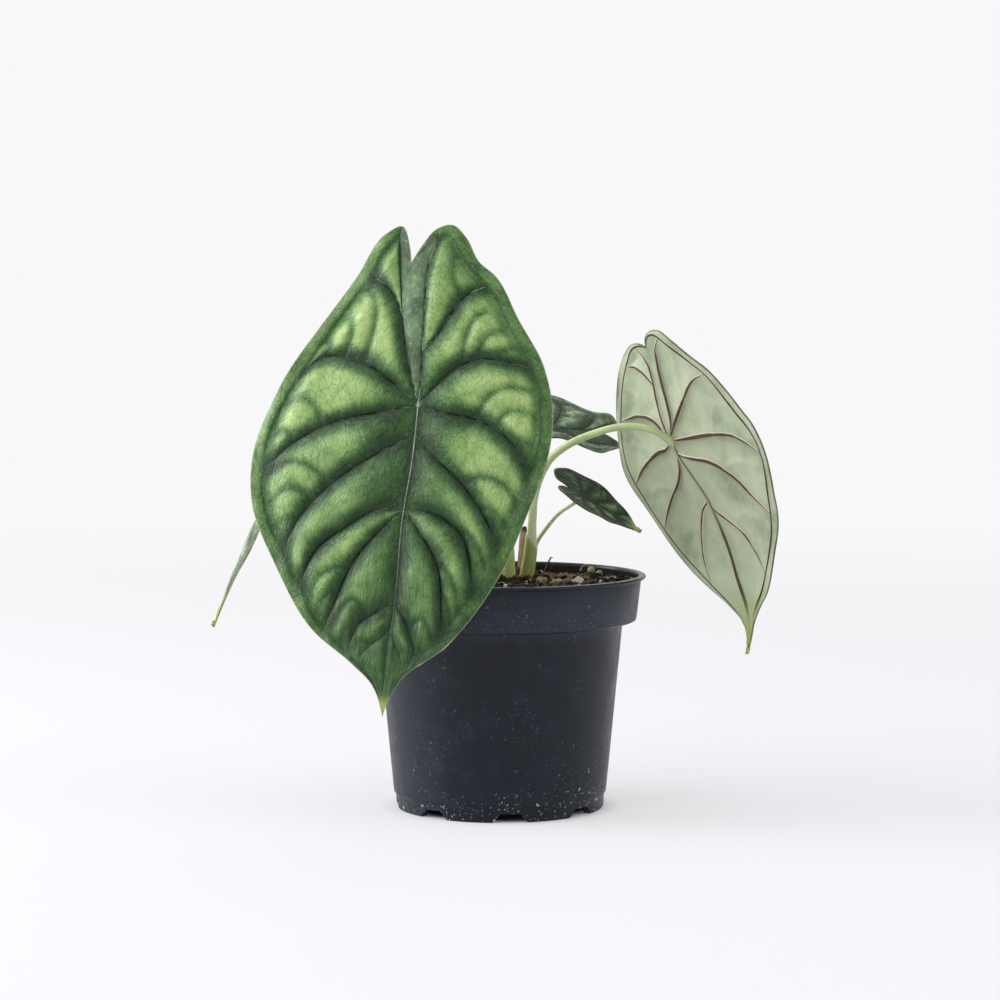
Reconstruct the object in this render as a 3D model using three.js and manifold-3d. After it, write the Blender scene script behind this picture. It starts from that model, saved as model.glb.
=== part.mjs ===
import * as THREE from 'three';
import { mergeVertices } from 'three/addons/utils/BufferGeometryUtils.js';
import Module from 'manifold-3d';

// A dragon scale alocasia in a round black nursery pot, in millimetres.
// Z points up, the middle of the pot's underside is the origin, and the
// plant is seen from -Y with X to the right.

const wasm = await Module();
wasm.setup();

// Pot: a standard 12 cm nursery pot.
const RIM_RADIUS = 60;
const POT_HEIGHT = 96;
const COLLAR_TOP = 58.1;
const COLLAR_BOTTOM = 56.3;
const SHOULDER_HEIGHT = 77.4;
const BODY_TOP = 50.5;
const BODY_BOTTOM = 43.8;
const FOOT_RADIUS = 42.9;
const WALL = 1.2;
const FLOOR_UNDERSIDE = 4.2;
const BOSS_RADIUS = 14;
const NOTCHES = 8;
const NOTCH_WIDTH = 12;
const NOTCH_HEIGHT = 3.8;
const NOTCH_TURN = 4.8;
const ROUND = 48;

// Soil and the crown that the stalks grow from.
const GAP = 0.3;
const SOIL_TOP = 93.4;
const CROWN = { at: [4.5, 4.5], radius: 13, bottom: 84, top: 93.2 };
const STALK_FOOT = 86.3;

// Leaf shapes. Points are [across, down] from the place where the stalk
// joins, seen on the upper side with the tip hanging down. Both edges run
// from the notch between the two upper lobes to the tip. Each vein leaves
// the midrib at the fraction `from`, passes its `via` points and ends at the
// fraction `to` of the edge. A forked vein shares its first part with the
// vein before it.
const BROAD = {
  margin: 5.5,
  left: [[-10, -56], [-11, -62], [-15.5, -70.5], [-21.5, -67], [-31.5, -49.5], [-44, -28], [-59, 0],
    [-65.5, 22], [-63.5, 43], [-51, 67], [-32, 91.5], [-14, 103.5], [-5.5, 110.5], [0, 122]],
  right: [[-10, -56], [-6, -64], [-1, -70.5], [5, -72.5], [11, -68], [17, -59], [24, -54], [36, -37.5],
    [48, -20], [53.5, -2], [53.5, 15], [47.5, 40], [38.5, 66], [22.5, 93], [6, 108], [0, 122]],
  mid: [[0, 0], [0.3, 20], [-0.8, 45], [0, 80], [-0.8, 105], [0, 122]],
  seam: [[-4.5, -20], [-7.5, -40]],
  leftVeins: [
    { from: 0, via: [[-6.5, -18], [-10.5, -33], [-13, -48]], to: 0.062 },
    { from: 0, via: [[-19.5, -45]], to: 0.2, fork: true },
    { from: 0, via: [[-10.5, -7.5], [-24, -14.5], [-35, -17], [-45, -12]], to: 0.42 },
    { from: 0, via: [[-14.5, 4], [-31, 8.8], [-45.5, 16.5]], to: 0.535 },
    { from: 0.095, via: [[-12.5, 19.5], [-28, 31.5], [-40.5, 45]], to: 0.655 },
    { from: 0.34, via: [[-10, 41.5], [-23.5, 48], [-36, 60]], to: 0.735 },
    { from: 0.34, via: [[-7, 48], [-18.5, 64], [-23, 77]], to: 0.83 },
    { from: 0.645, via: [[-6.5, 81.5], [-14.5, 88.5]], to: 0.895 },
    { from: 0.76, via: [[-5, 96.5]], to: 0.94 },
  ],
  rightVeins: [
    { from: 0, via: [[1.2, -12], [0.5, -25], [-1.5, -42], [-1, -57]], to: 0.092 },
    { from: 0, via: [[8, -35.5], [16, -45.5]], to: 0.245, fork: true },
    { from: 0, via: [[6, -8], [16, -17.5], [28.5, -20.5]], to: 0.385 },
    { from: 0, via: [[10, 2], [25, 4], [35.5, 9]], to: 0.545 },
    { from: 0.095, via: [[8, 19], [20.5, 29], [31.5, 41.5]], to: 0.675 },
    { from: 0.34, via: [[9, 41.5], [21, 47]], to: 0.76 },
    { from: 0.34, via: [[6, 49], [15, 61.5], [18.5, 77.5]], to: 0.85 },
    { from: 0.645, via: [[5, 84], [9, 92]], to: 0.905 },
    { from: 0.76, via: [[3.5, 98]], to: 0.945 },
  ],
};

const NARROW = {
  margin: 4,
  left: [[-5.6, -39.7], [-7, -44], [-11.5, -46.5], [-18.5, -42.5], [-31.5, -31], [-42, -13], [-50.5, 3.5],
    [-53, 17], [-48, 37], [-38.5, 54.5], [-28, 67], [-16, 76], [-8, 84], [0, 94]],
  right: [[-5.6, -39.7], [-3, -41.5], [2, -42.5], [8, -41], [15, -35.5], [27, -20], [35.5, -4], [38, 9],
    [33.5, 26], [24, 47.5], [11, 63], [1.5, 73.5], [-3, 82], [0, 94]],
  mid: [[0, 0], [-3.8, 14], [-8.2, 27], [-9.9, 42], [-9.4, 60], [-7, 78], [0, 94]],
  seam: [[-3, -12], [-4.6, -27]],
  leftVeins: [
    { from: 0, via: [[-5.2, -12], [-7.4, -24], [-9.4, -34]], to: 0.08 },
    { from: 0, via: [[-7.8, -9], [-17, -16.5], [-26, -22.5]], to: 0.24 },
    { from: 0, via: [[-18, 0.3], [-33, 1.2], [-42.5, 5]], to: 0.46 },
    { from: 0.085, via: [[-12.8, 10.5], [-25.5, 16], [-34, 24]], to: 0.6 },
    { from: 0.32, via: [[-19, 39], [-25.5, 47.5]], to: 0.78 },
    { from: 0.62, via: [[-14, 64]], to: 0.88 },
  ],
  rightVeins: [
    { from: 0, via: [[0.3, -12], [0, -25], [-1.2, -34]], to: 0.045 },
    { from: 0, via: [[3.5, -28.5]], to: 0.14, fork: true },
    { from: 0, via: [[7.5, -9.5], [16.5, -12.3]], to: 0.31 },
    { from: 0, via: [[3.4, 2.3], [15.5, 5], [25.5, 9.5]], to: 0.5 },
    { from: 0.085, via: [[0.5, 10.5], [7, 19.5], [17.5, 28]], to: 0.645 },
    { from: 0.32, via: [[1.8, 41], [6, 52]], to: 0.8 },
    { from: 0.62, via: [[-3, 68]], to: 0.9 },
  ],
};

// A young leaf has a deeper notch, and one lobe is shorter than the other.
const YOUNG_LEFT = [[0, -12], [-4, -26], [-11, -42], [-22, -48], [-37, -42], [-50, -22], [-56, 2], [-53, 34],
  [-39, 66], [-20, 94], [-6, 110], [0, 122]];
const YOUNG_RIGHT = [[0, -12], [2, -36], [10, -60], [23, -68], [38, -55], [50, -28], [54, 2], [50, 34],
  [37, 66], [19, 94], [6, 110], [0, 122]];
const HALF_VEINS = [
  { from: 0, via: [[-8, -14], [-15, -28]], to: 0.17 },
  { from: 0, via: [[-16, -11], [-34, -21]], to: 0.37 },
  { from: 0, via: [[-16, 5], [-38, 10]], to: 0.53 },
  { from: 0.2, via: [[-14, 35], [-31, 50]], to: 0.7 },
  { from: 0.5, via: [[-10, 72], [-19, 84]], to: 0.87 },
];
const mirrored = (points) => points.map(([u, v]) => [-u, v]);
const YOUNG = {
  margin: 6,
  left: YOUNG_LEFT,
  right: YOUNG_RIGHT,
  mid: [[0, 0], [0, 60], [0, 122]],
  seam: [[0, -4], [0, -8]],
  leftVeins: HALF_VEINS,
  rightVeins: HALF_VEINS.map((vein) => ({ ...vein, via: mirrored(vein.via) })),
};

// Leaves in the plant. `at` is where the stalk joins, `facing` is the way the
// upper side looks and `down` runs from there towards the tip. `arch` curls
// the sides back, `fold` lifts them like a keel, `droop` bends the tip back
// and `lobes` the left and right upper lobe, `puff` is how far the skin
// swells between two veins and `wave` how far the edge sways.
const LEAVES = {
  front: {
    shape: BROAD, size: 1,
    at: [-32, -55, 167.3], facing: [-0.19, -0.96, 0.19], down: [-0.116, -0.172, -0.978],
    arch: 0.0011, fold: 0, droop: 0.0003, lobes: [1, 1],
    puff: 2.2, wave: 0.8, rows: 9, step: 8, color: 0x4f8a3c,
  },
  right: {
    shape: NARROW, size: 1,
    at: [70.5, -5, 151.3], facing: [0.75, 0.585, 0.31], down: [0.343, 0.055, -0.938],
    arch: 0.0006, fold: 0.04, droop: 0.0003, lobes: [1, 1],
    puff: 1.3, wave: 0.6, rows: 9, step: 7, color: 0xa9b8a0,
  },
  back: {
    shape: BROAD, size: 0.43,
    at: [20, 52, 151.7], facing: [-0.13, -0.33, 0.93], down: [-0.97, 0.05, -0.2],
    arch: 0, fold: 0.32, droop: 0.002, lobes: [2.5, 10.5],
    puff: 1.2, wave: 0.5, rows: 6, step: 6, color: 0x35543a,
  },
  left: {
    shape: YOUNG, size: 0.6,
    at: [-91.5, 20, 138.2], facing: [-0.9, -0.06, 0.42], down: [-0.445, 0.05, -0.893],
    arch: 0.002, fold: 0, droop: 0.0006, lobes: [1, 1],
    puff: 1, wave: 0.4, rows: 6, step: 8, color: 0x3f6b40,
  },
  small: {
    shape: YOUNG, size: 0.23,
    at: [34, -3, 128.2], facing: [0.475, -0.42, 0.775], down: [0.853, 0, -0.522],
    arch: 0, fold: 0.2, droop: 0, lobes: [0, 0],
    puff: 0.6, wave: 0.3, rows: 5, step: 3.5, color: 0x3a5f3a,
  },
};
const BLADE = 0.7;
const RIB_AT_STALK = 0.9;
const RIB_ON_VEIN = 0.6;

// Where a forked vein leaves its neighbour, how soon the edge strip reaches
// its full width and how often the edge sways, all along a fraction.
const FORK_AT = 0.45;
const MARGIN_TAPER = 0.06;
const EDGE_SWAYS = 24;

// Stalks: centre line points and the radius at each of them.
const STALKS = {
  front: {
    path: [[3, -2, STALK_FOOT], [3, -2.2, 93], [2.7, -3, 110], [1.6, -6, 130], [-4, -16, 148],
      [-14, -32, 160], [-24, -45, 165.4]],
    radii: [3.3, 3.3, 2.9, 2.5, 2.1, 1.8, 1.6, 1.7], color: 0xb4c98a,
  },
  right: {
    path: [[10.6, 4, STALK_FOOT], [10.9, 4, 93], [12.6, 3, 105], [13.3, 1, 118], [14, 0, 127],
      [16.5, -1, 136], [20.7, -2, 143.5], [26, -3, 148], [32, -4, 151.4], [39.5, -5, 154.3],
      [47, -6, 156.4], [56.5, -7, 156.8], [63.5, -7.4, 154.9]],
    radii: [2.9, 2.9, 2.6, 2, 1.9, 1.85, 1.8, 1.75, 1.75, 1.7, 1.7, 1.6, 1.6, 1.8], color: 0xb9cf8c,
  },
  back: {
    path: [[3, 8.5, STALK_FOOT], [3, 8.7, 93], [1, 20, 112], [1, 36, 131], [6, 50, 143], [14, 54.5, 146.6]],
    radii: [2, 2, 1.7, 1.5, 1.3, 1.2, 1.2], color: 0xa9c07e,
  },
  left: {
    path: [[-3.5, 5, STALK_FOOT], [-3.8, 5.2, 93], [-12, 9, 115], [-30, 14, 132], [-55, 18, 140],
      [-77, 20, 139.5]],
    radii: [2.2, 2.2, 1.9, 1.6, 1.4, 1.3, 1.3], color: 0xa9c07e,
  },
  small: {
    path: [[12.6, 8.8, STALK_FOOT], [13.2, 8.2, 98], [15.2, 5, 108.3], [19.4, 1.5, 115], [24, -0.5, 120.6],
      [29.5, -2.4, 124.6]],
    radii: [0.85, 0.85, 0.8, 0.8, 0.75, 0.7, 0.7], color: 0xb9cf8c,
  },
};
const DRY_STALK = {
  path: [[8.2, 12, STALK_FOOT], [8.4, 12, 94], [9.2, 12.2, 104], [9.5, 12.2, 114.5]],
  radii: [1.6, 1.6, 1.3, 0.35],
};

const add = (a, b, k = 1) => a.map((x, i) => x + k * b[i]);
const mix = (a, b, t) => a.map((x, i) => x + (b[i] - x) * t);
const dot = (a, b) => a.reduce((sum, x, i) => sum + x * b[i], 0);
const unit = (a) => a.map((x) => x / Math.hypot(...a));
const cross = (a, b) => [a[1] * b[2] - a[2] * b[1], a[2] * b[0] - a[0] * b[2], a[0] * b[1] - a[1] * b[0]];
const between = (x, low, high) => Math.min(1, Math.max(0, (x - low) / (high - low)));
const ease = (x) => x * x * (3 - 2 * x);

// A small repeatable random source.
function randomFrom(seed) {
  let state = seed >>> 0;
  return () => {
    state = (Math.imul(state, 1664525) + 1013904223) >>> 0;
    return state / 4294967296;
  };
}

// A smooth curve through some points, read at a fraction of its length.
function curve(points) {
  const knots = [0];
  for (let i = 1; i < points.length; i++) {
    knots.push(knots[i - 1] + Math.hypot(...add(points[i], points[i - 1], -1)));
  }
  const last = points.length - 1;
  const chord = (i) => add(points[i + 1], points[i], -1).map((x) => x / (knots[i + 1] - knots[i]));
  const slopes = points.map((_, i) => {
    if (last === 1) return chord(0);
    if (i === 0 || i === last) return null;
    const before = knots[i] - knots[i - 1];
    const after = knots[i + 1] - knots[i];
    return mix(chord(i - 1), chord(i), before / (before + after));
  });
  if (last > 1) {
    slopes[0] = add(chord(0).map((x) => 1.5 * x), slopes[1], -0.5);
    slopes[last] = add(chord(last - 1).map((x) => 1.5 * x), slopes[last - 1], -0.5);
  }
  return (f) => {
    const x = f * knots[last];
    let i = 0;
    while (i < last - 1 && x > knots[i + 1]) i++;
    const h = knots[i + 1] - knots[i];
    const t = (x - knots[i]) / h;
    const a = 2 * t ** 3 - 3 * t ** 2 + 1;
    const b = t ** 3 - 2 * t ** 2 + t;
    const c = -2 * t ** 3 + 3 * t ** 2;
    const d = t ** 3 - t ** 2;
    const [m, n] = [slopes[i], slopes[i + 1]];
    return points[i].map((p, k) => a * p + b * h * m[k] + c * points[i + 1][k] + d * h * n[k]);
  };
}

// The line along which the veins meet, a little inside the leaf's edge.
function innerEdge(edge, side, margin) {
  return (f) => {
    const here = edge(f);
    const along = unit(add(edge(Math.min(1, f + 0.004)), edge(Math.max(0, f - 0.004)), -1));
    const inset = margin * Math.min(1, f / MARGIN_TAPER, (1 - f) / MARGIN_TAPER);
    const inward = side === 'left' ? [along[1], -along[0]] : [-along[1], along[0]];
    return add(here, inward, inset);
  };
}

// The veins of one half, from the seam under the notch round to the tip.
function raysOf(shape, side, rows) {
  const mid = curve(shape.mid);
  const inner = innerEdge(curve(shape[side]), side, shape.margin);
  const seam = sample([[0, 0], ...shape.seam, inner(0)], 0, rows);
  const rays = [{ from: 0, to: 0, strength: 0, points: seam }];
  for (const vein of shape[side + 'Veins']) {
    const strength = 0.55 + 0.45 * (1 - vein.from);
    if (vein.fork) {
      const parent = rays[rays.length - 1].points;
      const shared = Math.round(rows * FORK_AT);
      const tail = sample([parent[shared], ...vein.via, inner(vein.to)], shared, rows);
      rays.push({ ...vein, strength, shared, points: [...parent.slice(0, shared), ...tail.slice(shared)] });
    } else {
      const points = sample([mid(vein.from), ...vein.via, inner(vein.to)], 0, rows);
      rays.push({ ...vein, strength, points });
    }
  }
  rays.push({ from: 1, to: 1, strength: 0, points: Array(rows + 1).fill(inner(1)) });
  return rays;
}

// How many strips each pair of neighbouring veins gets. Where two veins start
// at different places on the midrib, both halves get the same number.
function stripsOf(leaf, halves) {
  const strips = halves.map((rays) => rays.slice(1).map((ray, i) => {
    const middle = Math.floor(((ray.shared || 0) + leaf.rows) / 2);
    const gap = (k) => Math.hypot(...add(rays[i].points[k], ray.points[k], -1)) * leaf.size;
    const width = Math.max(gap(middle), gap(leaf.rows), i < 2 ? 2 * leaf.step : 0);
    return Math.max(2, Math.min(5, Math.round(width / leaf.step) + 1));
  }));
  halves[0].slice(1).forEach((ray, i) => {
    if (ray.from === halves[0][i].from) return;
    const j = halves[1].findIndex((other) => other.from === ray.from) - 1;
    const most = Math.max(strips[0][i], strips[1][j]);
    strips[0][i] = most;
    strips[1][j] = most;
  });
  return strips;
}

// The upper skin of one leaf as a flat list of triangles. Every corner holds
// [across, down, rise, rib]: rise is the swelling between the veins and rib
// the extra thickness of a vein on the lower side.
function skin(leaf) {
  const { shape, rows } = leaf;
  const mid = curve(shape.mid);
  const sides = ['left', 'right'];
  const halves = sides.map((side) => raysOf(shape, side, rows));
  const strips = stripsOf(leaf, halves);
  const triangles = [];
  sides.forEach((side, h) => {
    const edge = curve(shape[side]);
    const inner = innerEdge(edge, side, shape.margin);
    for (let i = 0; i + 1 < halves[h].length; i++) {
      const [A, B] = [halves[h][i], halves[h][i + 1]];
      const first = B.shared || 0;
      const columns = strips[h][i];
      const start = (t) => (first ? A.points[first] : mid(A.from + (B.from - A.from) * t));
      const end = (t) => inner(A.to + (B.to - A.to) * t);
      const grid = [];
      for (let j = 0; j <= columns; j++) {
        const t = j === columns ? 1 : 0.5 - 0.5 * Math.cos((Math.PI * j) / columns);
        const line = [];
        for (let k = first; k <= rows; k++) {
          const s = (k - first) / (rows - first);
          let point = mix(A.points[k], B.points[k], t);
          point = add(point, add(start(t), mix(start(0), start(1), t), -1), 1 - s);
          point = add(point, add(end(t), mix(end(0), end(1), t), -1), s);
          const wide = Math.hypot(...add(A.points[k], B.points[k], -1)) * leaf.size;
          const swell = Math.sin(Math.PI * t) ** 0.7 * ease(between(s, 0, 0.3)) * ease(between(s, 1, 0.78));
          const fade = RIB_ON_VEIN * (1 - 0.75 * (k / rows));
          let rib = k === rows ? 0.12 : 0;
          if (k === 0) rib = midribAt(leaf, A.from + (B.from - A.from) * t);
          if (j === 0 || (first && k === first)) rib = Math.max(rib, A.strength * fade);
          if (j === columns) rib = Math.max(rib, B.strength * fade);
          line.push([...point, leaf.puff * swell * Math.min(1, wide / 14), rib]);
        }
        const f = A.to + (B.to - A.to) * t;
        const out = edge(f);
        line.push([...mix(end(t), out, 0.5), 0.3 * leaf.puff * Math.sin(Math.PI * t) ** 2, 0.05]);
        const sway = Math.sin(EDGE_SWAYS * f) * Math.min(1, 8 * f, 8 * (1 - f));
        line.push([...out, leaf.wave * sway, 0]);
        grid.push(line);
      }
      for (let j = 0; j < columns; j++) {
        for (let k = 0; k + 1 < grid[j].length; k++) {
          const [a, b, c, d] = [grid[j][k], grid[j][k + 1], grid[j + 1][k + 1], grid[j + 1][k]];
          if (side === 'left') triangles.push([a, b, c], [a, c, d]);
          else triangles.push([a, c, b], [a, d, c]);
        }
      }
    }
  });
  return triangles;
}

function midribAt(leaf, fraction) {
  return (RIB_AT_STALK / leaf.size ** 0.3) * (1 - 0.85 * fraction);
}

// Points spread evenly along a curve, with index `first` at its start.
function sample(points, first, rows) {
  const line = curve(points);
  return Array.from({ length: rows + 1 }, (_, k) => line(Math.max(0, (k - first) / (rows - first))));
}

// Give corners that lie on one spot one number, and drop empty triangles.
function weld(triangles) {
  const corners = [];
  const lookup = new Map();
  const index = [];
  for (const triangle of triangles) {
    const ids = triangle.map((corner) => {
      const key = `${Math.round(corner[0] * 500)},${Math.round(corner[1] * 500)}`;
      if (!lookup.has(key)) {
        lookup.set(key, corners.length);
        corners.push([...corner]);
      }
      const id = lookup.get(key);
      corners[id][3] = Math.max(corners[id][3], corner[3]);
      return id;
    });
    if (new Set(ids).size === 3) index.push(ids);
  }
  return { corners, index };
}

// A closed blade: upper skin, lower skin and the thin wall between them.
function blade(leaf) {
  const { corners, index } = weld(skin(leaf));
  const facing = unit(leaf.facing);
  const down = unit(add(leaf.down, facing, -dot(leaf.down, facing)));
  const across = cross(facing, down);
  const top = corners.map(([u, v, rise]) => {
    const [x, y] = [u * leaf.size, v * leaf.size];
    const below = Math.max(0, y - 30 * leaf.size);
    const lobe = mix([leaf.lobes[0]], [leaf.lobes[1]], ease(between(u, -25, 5)))[0];
    const bend = leaf.arch * x * x + leaf.droop * below * below + lobe * ease(between(v, -5, -55));
    const lift = rise + leaf.fold * Math.abs(x) - bend;
    return add(add(add(leaf.at, across, x), down, y), facing, lift);
  });
  const sums = top.map(() => [0, 0, 0]);
  for (const [a, b, c] of index) {
    const n = cross(add(top[b], top[a], -1), add(top[c], top[a], -1));
    for (const id of [a, b, c]) sums[id] = add(sums[id], n);
  }
  const turned = dot(sums[0], facing) < 0;
  const normals = sums.map((n) => unit(turned ? n.map((x) => -x) : n));
  const bottom = top.map((p, i) => add(p, normals[i], -(BLADE + corners[i][3])));
  const faces = [];
  const edges = new Map();
  for (const ids of index) {
    const [a, b, c] = turned ? [ids[0], ids[2], ids[1]] : ids;
    faces.push([a, b, c], [a + top.length, c + top.length, b + top.length]);
    for (const [p, q] of [[a, b], [b, c], [c, a]]) {
      if (!edges.delete(`${q},${p}`)) edges.set(`${p},${q}`, [p, q]);
    }
  }
  for (const [p, q] of edges.values()) {
    faces.push([q, p, p + top.length], [q, p + top.length, q + top.length]);
  }
  const geometry = new THREE.BufferGeometry();
  geometry.setAttribute('position', new THREE.Float32BufferAttribute([...top, ...bottom].flat(), 3));
  geometry.setIndex(faces.flat());
  return geometry;
}

// A round stalk: a turned rod of unit length, bent along its centre line.
// With a leaf, the upper end lies flat just under the leaf's vein.
function stalk({ path, radii }, leaf, sides = 10) {
  let points = path;
  const facing = leaf ? unit(leaf.facing) : null;
  const seat = leaf ? BLADE + midribAt(leaf, 0) + GAP : 0;
  if (leaf) points = [...path, add(leaf.at, facing, -seat)];
  const line = curve(points);
  const lengths = points.map((p, i) => (i ? Math.hypot(...add(p, points[i - 1], -1)) : 0));
  const total = lengths.reduce((a, b) => a + b);
  let run = 0;
  const marks = lengths.map((l) => (run += l) / total);
  const radiusAt = (f) => {
    let i = 0;
    while (i < marks.length - 2 && f > marks[i + 1]) i++;
    return mix([radii[i]], [radii[i + 1]], ease(between(f, marks[i], marks[i + 1])))[0];
  };
  const rings = Math.max(8, Math.round(total / 6));
  const profile = [new THREE.Vector2(0, 0)];
  for (let i = 0; i <= rings; i++) profile.push(new THREE.Vector2(radiusAt(i / rings), i / rings));
  profile.push(new THREE.Vector2(0, 1));
  const geometry = new THREE.LatheGeometry(profile, sides);
  const frames = [];
  let side = [1, 0, 0];
  for (let i = 0; i <= rings; i++) {
    const f = i / rings;
    const along = unit(add(line(Math.min(1, f + 0.01)), line(Math.max(0, f - 0.01)), -1));
    side = unit(add(side, along, -dot(side, along)));
    frames.push({ centre: line(f), along, side, other: cross(along, side) });
  }
  const position = geometry.attributes.position;
  for (let i = 0; i < position.count; i++) {
    const ring = frames[Math.round(position.getY(i) * rings)];
    let p = add(add(ring.centre, ring.side, position.getX(i)), ring.other, -position.getZ(i));
    if (leaf && ring === frames[rings]) {
      const gap = dot(add(leaf.at, p, -1), facing) - seat;
      p = add(p, ring.along, gap / dot(ring.along, facing));
    }
    position.setXYZ(i, ...p);
  }
  return tidy(geometry);
}

// Drop the seam of a turned shape so that it is one closed skin.
function tidy(geometry) {
  geometry.deleteAttribute('normal');
  geometry.deleteAttribute('uv');
  const merged = mergeVertices(geometry, 1e-4);
  const old = merged.index.array;
  const index = [];
  for (let i = 0; i < old.length; i += 3) {
    const [a, b, c] = [old[i], old[i + 1], old[i + 2]];
    if (a !== b && b !== c && c !== a) index.push(a, b, c);
  }
  merged.setIndex(index);
  return merged;
}

function turned(profile, sides = ROUND) {
  const geometry = new THREE.LatheGeometry(profile.map(([r, z]) => new THREE.Vector2(r, z)), sides);
  geometry.rotateX(Math.PI / 2);
  return tidy(geometry);
}

function solid(geometry) {
  const merged = geometry.index ? geometry : tidy(geometry);
  return new wasm.Manifold(new wasm.Mesh({
    numProp: 3,
    vertProperties: new Float32Array(merged.attributes.position.array),
    triVerts: new Uint32Array(merged.index.array),
  }));
}

function geometryOf(manifold) {
  const mesh = manifold.getMesh();
  const geometry = new THREE.BufferGeometry();
  geometry.setAttribute('position', new THREE.BufferAttribute(mesh.vertProperties.slice(), 3));
  geometry.setIndex(new THREE.BufferAttribute(mesh.triVerts.slice(), 1));
  return geometry;
}

// The biggest body of a cut shape, without loose crumbs.
function largest(manifold) {
  return manifold.decompose().sort((a, b) => b.volume() - a.volume())[0];
}

function potGeometry() {
  const inFloor = FLOOR_UNDERSIDE + 1.5;
  const profile = [
    [0, 0], [BOSS_RADIUS, 0], [BOSS_RADIUS + 0.6, FLOOR_UNDERSIDE], [38.6, FLOOR_UNDERSIDE], [39, 0],
    [FOOT_RADIUS - 0.5, 0], [FOOT_RADIUS, 0.6], [FOOT_RADIUS + 0.1, 5.7], [BODY_BOTTOM, 6.5],
    [BODY_TOP, SHOULDER_HEIGHT - 1.5], [COLLAR_BOTTOM - 1, SHOULDER_HEIGHT],
    [COLLAR_BOTTOM, SHOULDER_HEIGHT + 1], [COLLAR_TOP, POT_HEIGHT - 2],
    [RIM_RADIUS - 0.4, POT_HEIGHT - 1.4], [RIM_RADIUS, POT_HEIGHT - 0.7],
    [RIM_RADIUS - 0.5, POT_HEIGHT], [COLLAR_TOP - 0.4, POT_HEIGHT], [COLLAR_TOP - WALL, POT_HEIGHT - 1.5],
    [COLLAR_BOTTOM - WALL, SHOULDER_HEIGHT + 2.2], [BODY_TOP - WALL, SHOULDER_HEIGHT - 0.3],
    [BODY_BOTTOM - WALL, 7.2], [BODY_BOTTOM - 2.4, inFloor], [0, inFloor],
  ];
  let pot = solid(turned(profile));
  for (let i = 0; i < NOTCHES; i++) {
    const turn = THREE.MathUtils.degToRad(NOTCH_TURN + (360 / NOTCHES) * i);
    const box = new THREE.BoxGeometry(NOTCH_WIDTH, 9, 2 * NOTCH_HEIGHT);
    box.translate(0, -(FOOT_RADIUS - 2), 0);
    box.rotateZ(turn);
    pot = pot.subtract(solid(tidy(box)));
  }
  return geometryOf(pot);
}

function soilGeometry() {
  const random = randomFrom(7);
  const inFloor = FLOOR_UNDERSIDE + 1.5 + GAP;
  const profile = [
    [0, inFloor], [BODY_BOTTOM - 2.7, inFloor], [BODY_BOTTOM - WALL - GAP, 7.5],
    [BODY_TOP - WALL - GAP, SHOULDER_HEIGHT], [COLLAR_BOTTOM - WALL - GAP, SHOULDER_HEIGHT + 2.6],
    [COLLAR_TOP - WALL - 0.6, SOIL_TOP - 0.8], [54, SOIL_TOP + 0.6],
    ...[48, 41, 34, 27, 19, 0].map((radius) => [radius, SOIL_TOP]),
  ];
  const base = turned(profile, 36);
  const position = base.attributes.position;
  for (let i = 0; i < position.count; i++) {
    const [x, y, z] = [position.getX(i), position.getY(i), position.getZ(i)];
    const r = Math.hypot(x, y);
    if (z < SOIL_TOP - 0.1 || r > 54.5) continue;
    const turn = (random() - 0.5) * 0.08;
    const heap = 0.9 * Math.sin(x * 0.13 + 1) * Math.sin(y * 0.11 + 2);
    position.setXYZ(i, x * Math.cos(turn) - y * Math.sin(turn), x * Math.sin(turn) + y * Math.cos(turn),
      z + heap + (random() - 0.5) * 1.6);
  }
  let soil = solid(base);
  const chips = [];
  for (let i = 0; i < 20; i++) {
    const turn = random() * 2 * Math.PI;
    const reach = 20 + 33 * Math.sqrt(random());
    const size = 1.2 + 2.2 * random();
    const chip = new THREE.IcosahedronGeometry(size, 0);
    chip.scale(1.4, 0.9, 0.6);
    chip.rotateX(random() * 0.8);
    chip.rotateZ(random() * Math.PI);
    chip.translate(Math.cos(turn) * reach, Math.sin(turn) * reach, SOIL_TOP + 0.2 + 0.5 * random());
    chips.push(solid(tidy(chip)));
  }
  const inside = solid(turned([[0, 60], [55, 60], [55.6, 95.6], [0, 95.6]], 40));
  for (const chip of chips) soil = soil.add(chip.intersect(inside));
  const well = turned([[0, CROWN.bottom - GAP], [CROWN.radius + GAP, CROWN.bottom - GAP],
    [CROWN.radius + GAP, 110], [0, 110]], 24);
  well.translate(CROWN.at[0], CROWN.at[1], 0);
  return geometryOf(largest(soil.subtract(solid(well))));
}

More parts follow.
